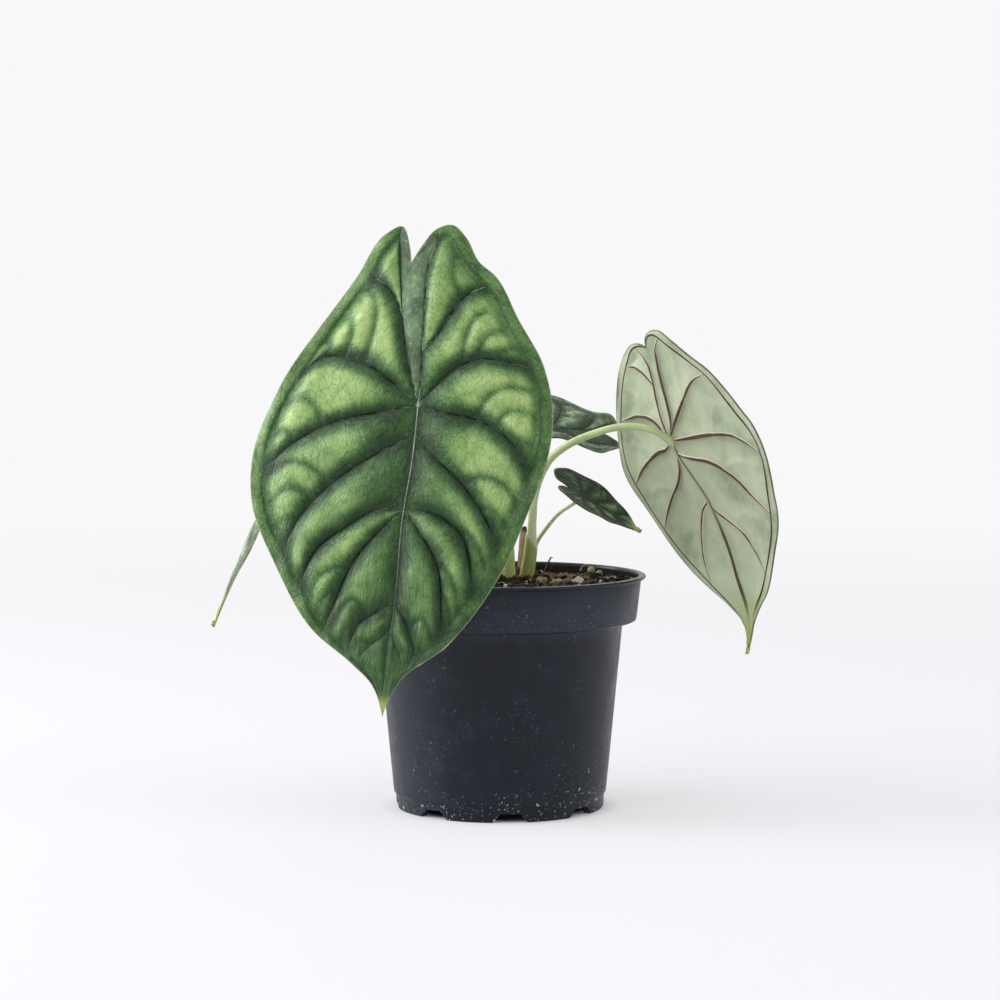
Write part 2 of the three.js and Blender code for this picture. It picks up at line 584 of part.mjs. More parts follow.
// The crown: a short brown stem end with a plain hole for every stalk.
function crownGeometry() {
  const random = randomFrom(21);
  const { at, radius, bottom, top } = CROWN;
  const base = turned([[0, bottom], [radius, bottom], [radius - 0.2, top - 1.2], [radius - 2.5, top],
    [radius - 6, top + 0.5], [3, top + 0.9], [0, top + 0.9]], 24);
  const position = base.attributes.position;
  for (let i = 0; i < position.count; i++) {
    if (position.getZ(i) > top - 0.5) position.setZ(i, position.getZ(i) + (random() - 0.5) * 1.2);
  }
  base.translate(at[0], at[1], 0);
  let crown = solid(base);
  for (let i = 0; i < 12; i++) {
    const turn = (i / 12) * 2 * Math.PI + random();
    const reach = 4 + 7 * random();
    const scale = new THREE.ConeGeometry(1 + random(), 4 + 2.5 * random(), 5);
    scale.rotateX(Math.PI / 2 + (random() - 0.5) * 0.9);
    scale.rotateZ(turn);
    scale.translate(at[0] + Math.cos(turn) * reach, at[1] + Math.sin(turn) * reach, top + 0.6);
    crown = crown.add(solid(tidy(scale)));
  }
  const wells = [...Object.values(STALKS), DRY_STALK];
  for (const { path, radii } of wells) {
    const wide = radii[0] + 0.7;
    const deep = STALK_FOOT - 0.7;
    const hole = turned([[0, deep], [wide, deep], [wide, 101], [0, 101]], 12);
    hole.translate((path[0][0] + path[1][0]) / 2, (path[0][1] + path[1][1]) / 2, 0);
    crown = crown.subtract(solid(hole));
  }
  return geometryOf(largest(crown));
}

function piece(name, geometry, color, roughness) {
  geometry.computeVertexNormals();
  const mesh = new THREE.Mesh(geometry, new THREE.MeshStandardMaterial({ color, roughness, metalness: 0 }));
  mesh.name = name;
  return mesh;
}

const plant = new THREE.Group();
plant.name = 'potted_alocasia';
plant.add(piece('pot', potGeometry(), 0x1e2024, 0.55));
plant.add(piece('soil', soilGeometry(), 0x2b2119, 0.95));
plant.add(piece('crown', crownGeometry(), 0x5a3423, 0.9));
for (const [name, leaf] of Object.entries(LEAVES)) {
  const stem = STALKS[name];
  const sides = stem.radii[0] > 2.5 ? 10 : 8;
  plant.add(piece(`stalk_${name}`, stalk(stem, leaf, sides), stem.color, 0.5));
  plant.add(piece(`blade_${name}`, blade(leaf), leaf.color, 0.45));
}
plant.add(piece('dry_stalk', stalk(DRY_STALK, null, 8), 0x8a5a34, 0.85));

export default plant;
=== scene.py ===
import math
import random

import bmesh
import bpy
import numpy as np
from mathutils import Matrix, Vector, noise


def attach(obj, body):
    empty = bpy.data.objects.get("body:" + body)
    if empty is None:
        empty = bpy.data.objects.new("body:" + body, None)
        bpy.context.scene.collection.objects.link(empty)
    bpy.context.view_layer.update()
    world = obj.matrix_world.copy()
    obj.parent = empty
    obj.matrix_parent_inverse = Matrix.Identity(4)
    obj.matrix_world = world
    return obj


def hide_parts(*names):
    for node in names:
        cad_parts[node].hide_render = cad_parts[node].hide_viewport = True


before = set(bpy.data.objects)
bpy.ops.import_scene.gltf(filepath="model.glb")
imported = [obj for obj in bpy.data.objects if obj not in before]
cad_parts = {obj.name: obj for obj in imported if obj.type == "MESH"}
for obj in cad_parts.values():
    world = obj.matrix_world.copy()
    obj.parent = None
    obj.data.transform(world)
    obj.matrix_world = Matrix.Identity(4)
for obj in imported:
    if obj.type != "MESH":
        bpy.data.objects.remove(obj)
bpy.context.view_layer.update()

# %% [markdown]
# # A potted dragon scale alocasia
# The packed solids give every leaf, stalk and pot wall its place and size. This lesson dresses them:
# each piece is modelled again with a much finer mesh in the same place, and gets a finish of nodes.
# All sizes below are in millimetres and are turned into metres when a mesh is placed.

MM = 0.001

# %% [markdown]
# ## Camera
# The photograph was taken from about 1.16 m away with a long lens, a little above the rim and looking
# slightly down. A long lens keeps the pot's sides almost straight.

# %% Camera
CAMERA_DISTANCE = 1.162
CAMERA_HEIGHT = 0.2048
CAMERA_PITCH = 3.86
camera = bpy.data.objects.new("camera", bpy.data.cameras.new("camera"))
camera.data.sensor_width = 36
camera.data.lens = 102
camera.location = (0, -CAMERA_DISTANCE, CAMERA_HEIGHT)
camera.rotation_euler = (math.radians(90 - CAMERA_PITCH), 0, 0)
bpy.context.scene.collection.objects.link(camera)
bpy.context.scene.camera = camera
print("camera", CAMERA_DISTANCE, "m away, lens", camera.data.lens, "mm")

# %% [markdown]
# ## Nodes in few words
# A finish is a tree of nodes. `Nodes` wraps one tree, so that each kind of node takes one short call, and
# a value that is a socket of another node becomes a link. Written out in full, the trees below would be
# four times as long.


# %% Short calls that add nodes
def rgba(color):
    return (*color, 1.0) if isinstance(color, tuple) else color


def tint(color, factor):
    return tuple(min(1, factor * c) for c in color)


class Nodes:
    def __init__(self, tree):
        self.tree = tree

    def fill(self, node, inputs):
        for name, value in inputs.items():
            if isinstance(value, bpy.types.NodeSocket):
                self.tree.links.new(value, node.inputs[name])
            else:
                node.inputs[name].default_value = value
        return node.outputs

    def put(self, kind, inputs, **settings):
        node = self.tree.nodes.new("ShaderNode" + kind)
        for name, value in settings.items():
            setattr(node, name, value)
        return self.fill(node, inputs)

    def math(self, operation, a, b):
        return self.put("Math", {0: a, 1: b}, operation=operation)[0]

    def times(self, a, b):
        return self.math("MULTIPLY", a, b)

    def plus(self, a, b):
        return self.math("ADD", a, b)

    def minus(self, a, b):
        return self.math("SUBTRACT", a, b)

    def sum(self, parts):
        total = self.times(*parts[0])
        for value, weight in parts[1:]:
            total = self.plus(total, self.times(value, weight))
        return total

    def vector(self, operation, inputs, out=0):
        return self.put("VectorMath", inputs, operation=operation)[out]

    def step(self, value, low, high, start=0.0, end=1.0):
        inputs = {"Value": value, 1: low, 2: high, 3: start, 4: end}
        return self.put("MapRange", inputs, interpolation_type="SMOOTHSTEP")[0]

    def blend(self, factor, a, b):
        return self.put("Mix", {0: factor, 6: rgba(a), 7: rgba(b)}, data_type="RGBA")[2]

    def ramp(self, factor, stops):
        node = self.tree.nodes.new("ShaderNodeValToRGB")
        points = node.color_ramp.elements
        while len(points) < len(stops):
            points.new(0.5)
        for point, (place, color) in zip(points, stops):
            point.position = place
            point.color = rgba(color)
        return self.fill(node, {"Fac": factor})["Color"]

    def noise(self, at, scale, detail, roughness=0.5, distortion=0.0, out="Fac"):
        inputs = {"Vector": at, "Scale": scale, "Detail": detail, "Roughness": roughness}
        return self.put("TexNoise", {**inputs, "Distortion": distortion})[out]

    def mark(self, name):
        return self.put("Attribute", {}, attribute_name=name)["Fac"]

    def place(self, kind="Object"):
        return self.put("TexCoord", {})[kind]

    def use(self, group, **inputs):
        node = self.tree.nodes.new("ShaderNodeGroup")
        node.node_tree = group
        return self.fill(node, inputs)[0]

    def line(self, distance, width, softness):
        return self.use(drawn_line, Distance=distance, Width=width, Softness=softness)


print("node calls:", ", ".join(name for name in vars(Nodes) if name[0] != "_"))

# %% [markdown]
# ## A finish, painted in layers
# A real leaf or pot has a ground colour with veins, dust and spots over it. `Finish` works the same way:
# it keeps the colour painted so far, and every `paint` lays one more colour over it through a mask. So a
# recipe reads from the ground colour upwards.


# %% A finish
class Finish(Nodes):
    def __init__(self, name, color, roughness, specular=0.5):
        self.material = bpy.data.materials.new(name)
        self.material.use_nodes = True
        super().__init__(self.material.node_tree)
        self.skin = self.tree.nodes["Principled BSDF"]
        self.color = color
        inputs = {"Base Color": rgba(color), "Roughness": roughness, "Specular IOR Level": specular}
        self.fill(self.skin, inputs)

    def paint(self, mask, amount, color):
        self.color = self.blend(mask if amount == 1 else self.times(mask, amount), self.color, color)

    def done(self, roughness=None, height=None, strength=0.0, depth_mm=0.0):
        """Join the colour, the roughness and the bump to the shader."""
        self.fill(self.skin, {"Base Color": self.color})
        if roughness is not None:
            self.fill(self.skin, {"Roughness": roughness})
        if height is not None:
            inputs = {"Height": height, "Strength": strength, "Distance": depth_mm * MM}
            self.fill(self.skin, {"Normal": self.put("Bump", inputs)["Normal"]})
        return self.material


print("finish calls:", ", ".join(name for name in vars(Finish) if name[0] != "_"))

# %% [markdown]
# ## Effects that several finishes share
# Dust lies on the pot and on the leaves, fine streaks run over leaves, stalks and bark, and all leaf
# veins are lines drawn from a distance that is stored on the mesh. Each is a node group, built once.


# %% Shared node groups
def new_group(name, numbers, vectors=("Vector",), out="Mask"):
    group = bpy.data.node_groups.new(name, "ShaderNodeTree")
    for label in vectors:
        group.interface.new_socket(label, in_out="INPUT", socket_type="NodeSocketVector")
    for label, start in numbers.items():
        group.interface.new_socket(label, in_out="INPUT", socket_type="NodeSocketFloat").default_value = start
    group.interface.new_socket(out, in_out="OUTPUT", socket_type="NodeSocketFloat")
    given = group.nodes.new("NodeGroupInput").outputs
    return group, Nodes(group), given, group.nodes.new("NodeGroupOutput")


dust, n, given, result = new_group("dust_specks", {"Scale": 400.0, "Size": 0.2, "Coverage": 0.5})
wander = n.noise(given["Vector"], n.times(given["Scale"], 2.2), 2.0, out="Color")
wander = n.vector("SCALE", {0: wander, "Scale": n.math("DIVIDE", 1.1, given["Scale"])})
ragged = n.vector("ADD", {0: given["Vector"], 1: wander})
cells = n.put("TexVoronoi", {"Vector": ragged, "Scale": given["Scale"]})
near = n.math("LESS_THAN", cells["Distance"], given["Size"])
chance = n.put("SeparateColor", {"Color": cells["Color"]})[0]
n.fill(result, {0: n.times(near, n.math("LESS_THAN", chance, given["Coverage"]))})

streaks, n, given, result = new_group("fine_streaks", {"Along": 1.0, "Across": 0.1, "Roughness": 0.6},
                                      out="Value")
scale = n.put("CombineXYZ", {"X": given["Along"], "Y": given["Across"], "Z": 1.0})[0]
stretched = n.vector("MULTIPLY", {0: given["Vector"], 1: scale})
n.fill(result, {0: n.noise(stretched, 1.0, 4.0, given["Roughness"])})

drawn_line, n, given, result = new_group("drawn_line", {"Distance": 0.0, "Width": 1.0, "Softness": 0.3},
                                         vectors=())
outer = n.plus(given["Width"], given["Softness"])
n.fill(result, {0: n.step(given["Distance"], given["Width"], outer, 1.0, 0.0)})
print("node groups:", [group.name for group in bpy.data.node_groups])

# %% [markdown]
# ## Making a piece
# Every piece ends the same way: its bmesh becomes an object at the origin, it rides on the plant's one
# body and it stands for the plain solid that it replaces.


# %% Turning a bmesh into a piece of the plant
def to_object(name, bm):
    mesh = bpy.data.meshes.new(name)
    bm.to_mesh(mesh)
    bm.free()
    made = bpy.data.objects.new(name, mesh)
    bpy.context.scene.collection.objects.link(made)
    return made


def new_piece(name, bm, materials, replaced=None, sharp=50):
    bmesh.ops.recalc_face_normals(bm, faces=bm.faces[:])
    piece = to_object(name, bm)
    for material in materials:
        piece.data.materials.append(material)
    piece.data.shade_smooth()
    piece.data.set_sharp_from_angle(angle=math.radians(sharp))
    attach(piece, "root")
    if replaced:
        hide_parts(replaced)
    print(name, "has", sum(len(face.vertices) - 2 for face in piece.data.polygons), "triangles")


def heap(*marks):
    """An empty bmesh whose points can carry these marks."""
    bm = bmesh.new()
    for mark in marks:
        bm.verts.layers.float.new(mark)
    return bm


def close_tubes(bm):
    """Merge the seam of each rolled tube and fill its two ends."""
    bmesh.ops.remove_doubles(bm, verts=bm.verts[:], dist=1e-6)
    bmesh.ops.holes_fill(bm, edges=[edge for edge in bm.edges if edge.is_boundary], sides=0)


def turned(bm, profile, steps):
    """Spin a profile of (radius, height) points in mm round the upright axis."""
    points = [bm.verts.new((radius * MM, 0, height * MM)) for radius, height in profile]
    edges = [bm.edges.new(pair) for pair in zip(points, points[1:])]
    bmesh.ops.spin(bm, geom=points + edges, cent=(0, 0, 0), axis=(0, 0, 1), angle=math.tau,
                   steps=steps, use_merge=True)
    bmesh.ops.remove_doubles(bm, verts=bm.verts[:], dist=1e-6)
    bmesh.ops.recalc_face_normals(bm, faces=bm.faces[:])


# %% [markdown]
# ## The pot
# A nursery pot is thin black plastic, moulded in one piece: a tapered body, a wider collar with a thin
# rolled rim, and a foot ring with notches that let water out. Its half section is turned once round the
# axis, and eight small blocks cut the notches.

# %% Pot sizes
RIM_RADIUS = 60
POT_HEIGHT = 96
COLLAR_TOP = 58.1
COLLAR_BOTTOM = 56.3
SHOULDER = 77.4
BODY_TOP = 50.5
BODY_BOTTOM = 43.8
FOOT = 42.9
WALL = 1.2
BOSS = 14
FLOOR_UNDERSIDE = 4.2
NOTCHES = 8
NOTCH = (20, 9, 7.2)
NOTCH_TURN = 5.6
NOTCH_SLANT = 6

pot_outside = [
    (0, 0), (BOSS - 0.4, 0), (BOSS, 0.3), (BOSS + 0.6, FLOOR_UNDERSIDE), (38.6, FLOOR_UNDERSIDE), (39, 0.2),
    (39.2, 0), (FOOT - 0.6, 0), (FOOT - 0.1, 0.5), (FOOT + 0.1, 5.5), (FOOT + 0.4, 6), (BODY_BOTTOM, 6.5),
    (BODY_BOTTOM + 0.1, 7), (BODY_TOP - 0.1, SHOULDER - 2), (BODY_TOP + 0.3, SHOULDER - 1.2),
    (BODY_TOP + 1, SHOULDER - 0.9), (COLLAR_BOTTOM - 1, SHOULDER - 0.2), (COLLAR_BOTTOM - 0.3, SHOULDER + 0.2),
    (COLLAR_BOTTOM, SHOULDER + 1), (COLLAR_TOP, POT_HEIGHT - 2.1), (COLLAR_TOP + 0.4, POT_HEIGHT - 1.7),
    (RIM_RADIUS - 0.4, POT_HEIGHT - 1.4), (RIM_RADIUS, POT_HEIGHT - 1), (RIM_RADIUS, POT_HEIGHT - 0.5),
]
pot_inside = [
    (RIM_RADIUS - 0.4, POT_HEIGHT - 0.1), (RIM_RADIUS - 1, POT_HEIGHT), (COLLAR_TOP - 0.3, POT_HEIGHT),
    (COLLAR_TOP - 0.9, POT_HEIGHT - 0.4), (COLLAR_TOP - WALL, POT_HEIGHT - 1.6),
    (COLLAR_BOTTOM - WALL, SHOULDER + 2.2), (BODY_TOP - WALL, SHOULDER - 0.3), (BODY_BOTTOM - WALL, 7.2),
    (BODY_BOTTOM - 2.4, 5.7), (0, 5.7),
]
print("pot section:", len(pot_outside + pot_inside), "points")

# %% [markdown]
# Black plastic is never quite clean. Pale specks of lime and dust stay near the foot and under the rim, a
# grey film dulls the collar, and the inside below the rim is painted near black: partly peat that sticks
# there, partly painted shade in the pot's hollow. An image would blur from near, so noise draws the specks,
# and the height above the floor says where they may lie.

# %% Pot finish
f = Finish("pot_plastic", (0.005, 0.007, 0.011), 0.42, 0.27)
WALL_SLOPE = 0.107
place = f.place()
height = f.put("SeparateXYZ", {"Vector": place})["Z"]
from_axis = f.vector("LENGTH", {0: f.vector("MULTIPLY", {0: place, 1: (1.0, 1.0, 0.0)})}, "Value")
over_wall = f.minus(from_axis, f.times(height, WALL_SLOPE))
outside = f.math("MAXIMUM", f.step(over_wall, 0.0472, 0.0476), f.step(height, 0.082, 0.078))
foot_band = f.step(height, 0.016, 0.004)
collar_band = f.times(f.step(height, 0.07, 0.079), f.step(height, 0.098, 0.082))
drift = f.noise(place, 38.0, 3.0, 0.7)
haze = f.noise(place, 90.0, 6.0, 0.75)
bands = f.plus(foot_band, f.times(collar_band, 0.6))
amount = f.math("MINIMUM", f.plus(bands, f.times(f.step(drift, 0.44, 0.66), 0.6)), 0.9)
amount = f.times(f.times(amount, f.step(drift, 0.36, 0.6, 0.25, 1.0)), outside)
fine_dust = f.use(dust, Vector=place, Scale=900.0, Size=0.24, Coverage=0.36)
coarse_dust = f.use(dust, Vector=place, Scale=240.0, Size=0.18, Coverage=0.3)
specks = f.times(f.math("MAXIMUM", fine_dust, coarse_dust), amount)
film = f.times(f.sum([(f.step(haze, 0.4, 0.8), 0.35), (collar_band, 0.45)]), outside)
# Painted shade: the inside below the rim is painted near black, partly for peat stuck there and partly for the
# shade in the pot's hollow.
peat_and_shade_inside = f.times(f.minus(1.0, outside), f.step(height, 0.0957, 0.0943))
f.color = f.blend(film, (0.002, 0.005, 0.011), (0.03, 0.035, 0.052))
f.paint(specks, 1, f.blend(foot_band, (0.16, 0.17, 0.2), (0.5, 0.5, 0.52)))
f.paint(peat_and_shade_inside, 1, (0.009, 0.006, 0.004))
worn = f.times(f.step(haze, 0.35, 0.75, 0.36, 0.54), f.step(height, 0.0945, 0.0957, 1.0, 0.6))
relief = f.plus(f.noise(place, 900.0, 2.0), specks)
pot_plastic = f.done(f.math("MAXIMUM", worn, peat_and_shade_inside), relief, 0.25, 0.12)
print("pot finish:", len(f.tree.nodes), "nodes")

# %% [markdown]
# A spun section has the same shape all round, so the notches in the foot are cut afterwards: a boolean
# modifier takes eight slanted blocks away, and the result is read back into a bmesh.

# %% Pot mesh: turn the section, then cut the notches
bm = bmesh.new()
turned(bm, pot_outside + pot_inside, 144)
blank = to_object("pot_blank", bm)
bm = bmesh.new()
for i in range(NOTCHES):
    spin = Matrix.Rotation(math.radians(NOTCH_TURN + 360 / NOTCHES * i), 4, "Z")
    block = spin @ Matrix.Translation((0, -(FOOT - 2) * MM, 0))
    block = block @ Matrix.Diagonal([side * MM for side in NOTCH] + [1])
    for corner in bmesh.ops.create_cube(bm, size=1, matrix=block)["verts"]:
        if corner.co.z > 0:
            slant = math.copysign(NOTCH_SLANT * MM, (spin.inverted() @ corner.co).x)
            corner.co -= spin @ Vector((slant, 0, 0))
blocks = to_object("notch_blocks", bm)
cut = blank.modifiers.new("notches", "BOOLEAN")
cut.operation = "DIFFERENCE"
cut.solver = "EXACT"
cut.object = blocks
bm = bmesh.new()
bm.from_mesh(bpy.data.meshes.new_from_object(blank.evaluated_get(bpy.context.evaluated_depsgraph_get())))
for helper in (blank, blocks):
    bpy.data.objects.remove(helper)
new_piece("black_pot", bm, [pot_plastic], "pot", sharp=35)

# %% [markdown]
# ## Smooth lines
# Leaf edges, veins and stalks all follow smooth lines through a few chosen points. `smooth_line` gives
# back a function that reads the line at any fraction of its length, for many fractions at once.


# %% Smooth lines through points
def smooth_line(points):
    points = np.array([tuple(point) for point in points], float)
    steps = np.linalg.norm(np.diff(points, axis=0), axis=1)
    knots = np.concatenate([[0], np.cumsum(steps)])
    chords = np.diff(points, axis=0) / steps[:, None]
    slopes = np.vstack([chords[:1], chords[-1:]])
    if len(points) > 2:
        before, after = steps[:-1, None], steps[1:, None]
        inner = (chords[:-1] * after + chords[1:] * before) / (before + after)
        slopes = np.vstack([1.5 * chords[:1] - 0.5 * inner[:1], inner, 1.5 * chords[-1:] - 0.5 * inner[-1:]])

    def at(fraction):
        x = np.atleast_1d(fraction) * knots[-1]
        i = np.clip(np.searchsorted(knots, x) - 1, 0, len(steps) - 1)
        h = steps[i][:, None]
        t = ((x - knots[i]) / steps[i])[:, None]
        rise = t * t * (3 - 2 * t)
        return (points[i] * (1 - rise) + points[i + 1] * rise
                + h * slopes[i] * (t ** 3 - 2 * t ** 2 + t) + h * slopes[i + 1] * (t ** 3 - t ** 2))

    at.length = knots[-1]
    return at


def ease(x, low=0.0, high=1.0):
    t = np.clip((x - low) / (high - low), 0, 1)
    return t * t * (3 - 2 * t)


def distance_to(points, path):
    """How far each flat point is from a path of straight steps."""
    nearest = np.full(len(points), 1e9)
    for a, b in zip(path, path[1:]):
        step = b - a
        t = np.clip((points - a) @ step / max(step @ step, 1e-9), 0, 1)
        nearest = np.minimum(nearest, np.linalg.norm(points - a - t[:, None] * step, axis=1))
    return nearest


print("length of a line through three points:", round(smooth_line([(0, 0), (10, 5), (20, 0)]).length, 1))

# %% [markdown]
# ## Leaf shapes
# An alocasia leaf is a shield: the stalk joins its lower side, one midrib runs down to the tip, and
# thick side veins fan out to a collecting vein just inside the edge. The points are [across, down] from
# the stalk in millimetres, with the tip hanging down. A vein leaves the midrib at the fraction `start`,
# and `end` is the fraction of the edge where it arrives. A forked vein leaves the vein before it at the
# fraction `fork` of that vein's length. The tones say how light each field between two veins is, and
# `branches` are the soft furrows that leave the lower vein of a field.


# %% Veins, branches and the broad leaf
def vein(start, via, end, fork=0, strength=1):
    return {"start": start, "via": via, "end": end, "fork": fork, "strength": strength}


BROAD = {
    "margin": 5.5, "tip": (112, 121),
    "left": [(-10, -56), (-11, -62), (-15.5, -70.5), (-21.5, -67), (-31.5, -49.5), (-44, -28), (-59, 0),
             (-65.5, 22), (-63.5, 43), (-51, 67), (-32, 91.5), (-14, 103.5), (-5.5, 110.5), (0, 122)],
    "right": [(-10, -56), (-6, -64), (-1, -70.5), (5, -72.5), (11, -68), (17, -59), (24, -54), (35.4, -37.5),
              (47.4, -20), (53, -2), (53.2, 15), (47.5, 40), (38.5, 66), (22, 93), (5, 108.5), (0, 122)],
    "mid": [(0, 0), (0.3, 20), (-0.8, 45), (0, 80), (-0.8, 105), (0, 122)],
    "seam": [(-4.5, -20), (-7.5, -40)],
    "left_veins": [
        vein(0, [(-6.5, -18), (-10.5, -33), (-13, -48)], 0.062),
        vein(0, [(-16.3, -44), (-20.4, -47.3)], 0.162, fork=0.53),
        vein(0, [(-10.5, -7.5), (-25.7, -15.5), (-35.8, -17), (-42.3, -15.1)], 0.351),
        vein(0, [(-14.5, 4), (-31, 8.8), (-45.5, 16.5)], 0.53),
        vein(0.095, [(-12.5, 19.5), (-30.4, 33.4), (-41.4, 46.4), (-44.3, 51.8)], 0.682),
        vein(0.34, [(-10, 42), (-22.5, 50), (-34.5, 61)], 0.745, strength=0.45),
        vein(0.34, [(-7, 48), (-18.5, 64), (-23, 77)], 0.83),
        vein(0.645, [(-5.8, 81.6), (-9.8, 84.5), (-13.5, 87.5), (-15.1, 91.9)], 0.882, strength=0.4),
        vein(0.725, [(-4.5, 92.5), (-8.5, 96.3)], 0.903, strength=0.5)],
    "right_veins": [
        vein(0, [(0, -6), (-1.3, -25.8), (-2.2, -37.8), (-3, -53.8), (-1.8, -62)], 0.056),
        vein(0, [(3.4, -27), (8.3, -36.3), (12.9, -43.9), (16.6, -47)], 0.207, fork=0.333),
        vein(0, [(6.2, -8.1), (14.7, -16.8), (23.8, -20.4), (35.8, -19.8)], 0.361),
        vein(0, [(10, 2), (25, 4), (35.5, 9)], 0.545), vein(0.095, [(8, 19), (20.5, 29), (31.5, 41.5)], 0.675),
        vein(0.34, [(9, 41.5), (21, 47)], 0.76, strength=0.45),
        vein(0.34, [(6, 49), (15, 61.5), (18.5, 77.5)], 0.85),
        vein(0.645, [(4.5, 84), (7.5, 90)], 0.9, strength=0.3),
        vein(0.725, [(2.5, 95), (4.5, 98.5)], 0.93, strength=0.3)],
    "left_tones": [0.5, 0.86, 1.08, 0.98, 0.84, 0.78, 0.84, 0.62, 0.58, 0.5],
    "right_tones": [0.5, 0.86, 1.02, 1.06, 0.98, 0.78, 0.72, 0.6, 0.56, 0.5],
    "left_branches": [(2, 0.5, 0.95, 0.12), (2, 0.66, 0.97, 0.42), (2, 0.8, 0.98, 0.68),
                      (3, 0.58, 0.97, 0.38), (3, 0.78, 0.97, 0.7), (4, 0.55, 0.97, 0.12), (4, 0.68, 0.97, 0.45),
                      (4, 0.84, 0.98, 0.74), (6, 0.55, 0.95, 0.35), (6, 0.74, 0.97, 0.65),
                      (7, 0.42, 0.9, 0.3), (7, 0.68, 0.95, 0.66), (8, 0.55, 0.9, 0.4)],
    "right_branches": [(1, 0.72, 0.95, 0.55), (2, 0.48, 0.9, 0.3), (2, 0.6, 0.95, 0.55), (2, 0.76, 0.97, 0.76),
                       (3, 0.44, 0.97, 0.25), (3, 0.6, 0.97, 0.5), (3, 0.8, 0.97, 0.78), (4, 0.5, 0.97, 0.42),
                       (4, 0.72, 0.97, 0.74), (5, 0.55, 0.95, 0.5), (6, 0.5, 0.97, 0.45), (6, 0.7, 0.97, 0.72),
                       (7, 0.5, 0.92, 0.4), (8, 0.55, 0.9, 0.4)],
}
print("broad leaf:", len(BROAD["left_veins"] + BROAD["right_veins"]), "side veins")

# %% The narrow leaf
NARROW = {
    "margin": 3.1, "tip": (66, 90),
    "left": [(-5.6, -39.7), (-7, -44), (-10.8, -46), (-15.5, -45.2), (-20.6, -40.7), (-28.6, -33.3),
             (-37, -25), (-42, -15.8), (-46.2, -7.3), (-50.9, 0.3), (-53, 7.6), (-53, 14.7), (-51, 22.5),
             (-48.3, 30.3), (-46.7, 36.7), (-43.6, 44.2), (-38.8, 51.7), (-31.8, 61.3), (-23.9, 69.8),
             (-16.5, 75.6), (-10.5, 81.6), (-5.8, 88), (0, 94)],
    "right": [(-5.6, -39.7), (-3, -41.5), (2, -42.5), (8, -40.5), (14.8, -35), (27.2, -19.5), (35.6, -3.5),
              (38, 7), (33.5, 25), (23, 47.5), (9, 65), (0.8, 73), (-3.8, 80), (-4, 86), (0, 94)],
    "mid": [(0, 0), (-1.4, 8.1), (-4, 14.7), (-9, 28.5), (-10.7, 39.5), (-10.9, 51), (-9.8, 62), (-9.2, 75),
            (-6.5, 84), (0, 94)],
    "seam": [(-3, -12), (-4.6, -27)],
    "left_veins": [
        vein(0, [(-3.7, -7.2), (-5.1, -13.2), (-7.1, -26.4), (-8.8, -33.4), (-10.6, -38.3)], 0.08),
        vein(0, [(-5, -5.9), (-15.1, -14.8), (-25.2, -22)], 0.228),
        vein(0, [(-9.9, 0.5), (-29.1, 1.4), (-37.2, 3.1), (-43.5, 6.8)], 0.457),
        vein(0.06, [(-3.8, 7.4), (-8.4, 9.1), (-17.5, 11.8), (-28.6, 19.4), (-37.6, 30.7)], 0.603),
        vein(0.3, [(-11.4, 32.3), (-16.4, 37), (-21.5, 41.7), (-26.4, 52.6)], 0.765)],
    "right_veins": [
        vein(0, [(1.1, -8.9), (0.2, -16.1), (-2.3, -27.2), (-2.9, -32.3)], 0.036),
        vein(0, [(0.1, -27.1), (2.5, -30), (5.9, -32.6)], 0.129, fork=0.58),
        vein(0, [(2.2, -2.8), (6.8, -9.1), (15.6, -12.6), (21.4, -12.5)], 0.291),
        vein(0, [(4.8, 3.2), (11, 4), (19.2, 6.8), (26.1, 10.2)], 0.475),
        vein(0.06, [(0.7, 12), (4.3, 16.9), (13.4, 24.3), (18.6, 29.1)], 0.607),
        vein(0.3, [(-4.8, 30.5), (-0.7, 36.2), (3.1, 43.2), (6.3, 51.4)], 0.8)],
    "left_tones": [0.6, 0.7, 0.85, 0.9, 0.85, 0.8],
    "right_tones": [0.6, 0.6, 0.75, 0.8, 0.85, 0.8, 0.75],
    "left_branches": [(1, 0.55, 0.95, 0.4), (2, 0.5, 0.95, 0.35), (2, 0.75, 0.97, 0.7), (3, 0.5, 0.95, 0.4),
                      (4, 0.45, 0.95, 0.35), (4, 0.7, 0.97, 0.7), (5, 0.5, 0.9, 0.4)],
    "right_branches": [(2, 0.6, 0.95, 0.5), (3, 0.55, 0.95, 0.45), (4, 0.5, 0.95, 0.4), (5, 0.45, 0.95, 0.4)],
}
print("narrow leaf:", len(NARROW["left_veins"] + NARROW["right_veins"]), "side veins")

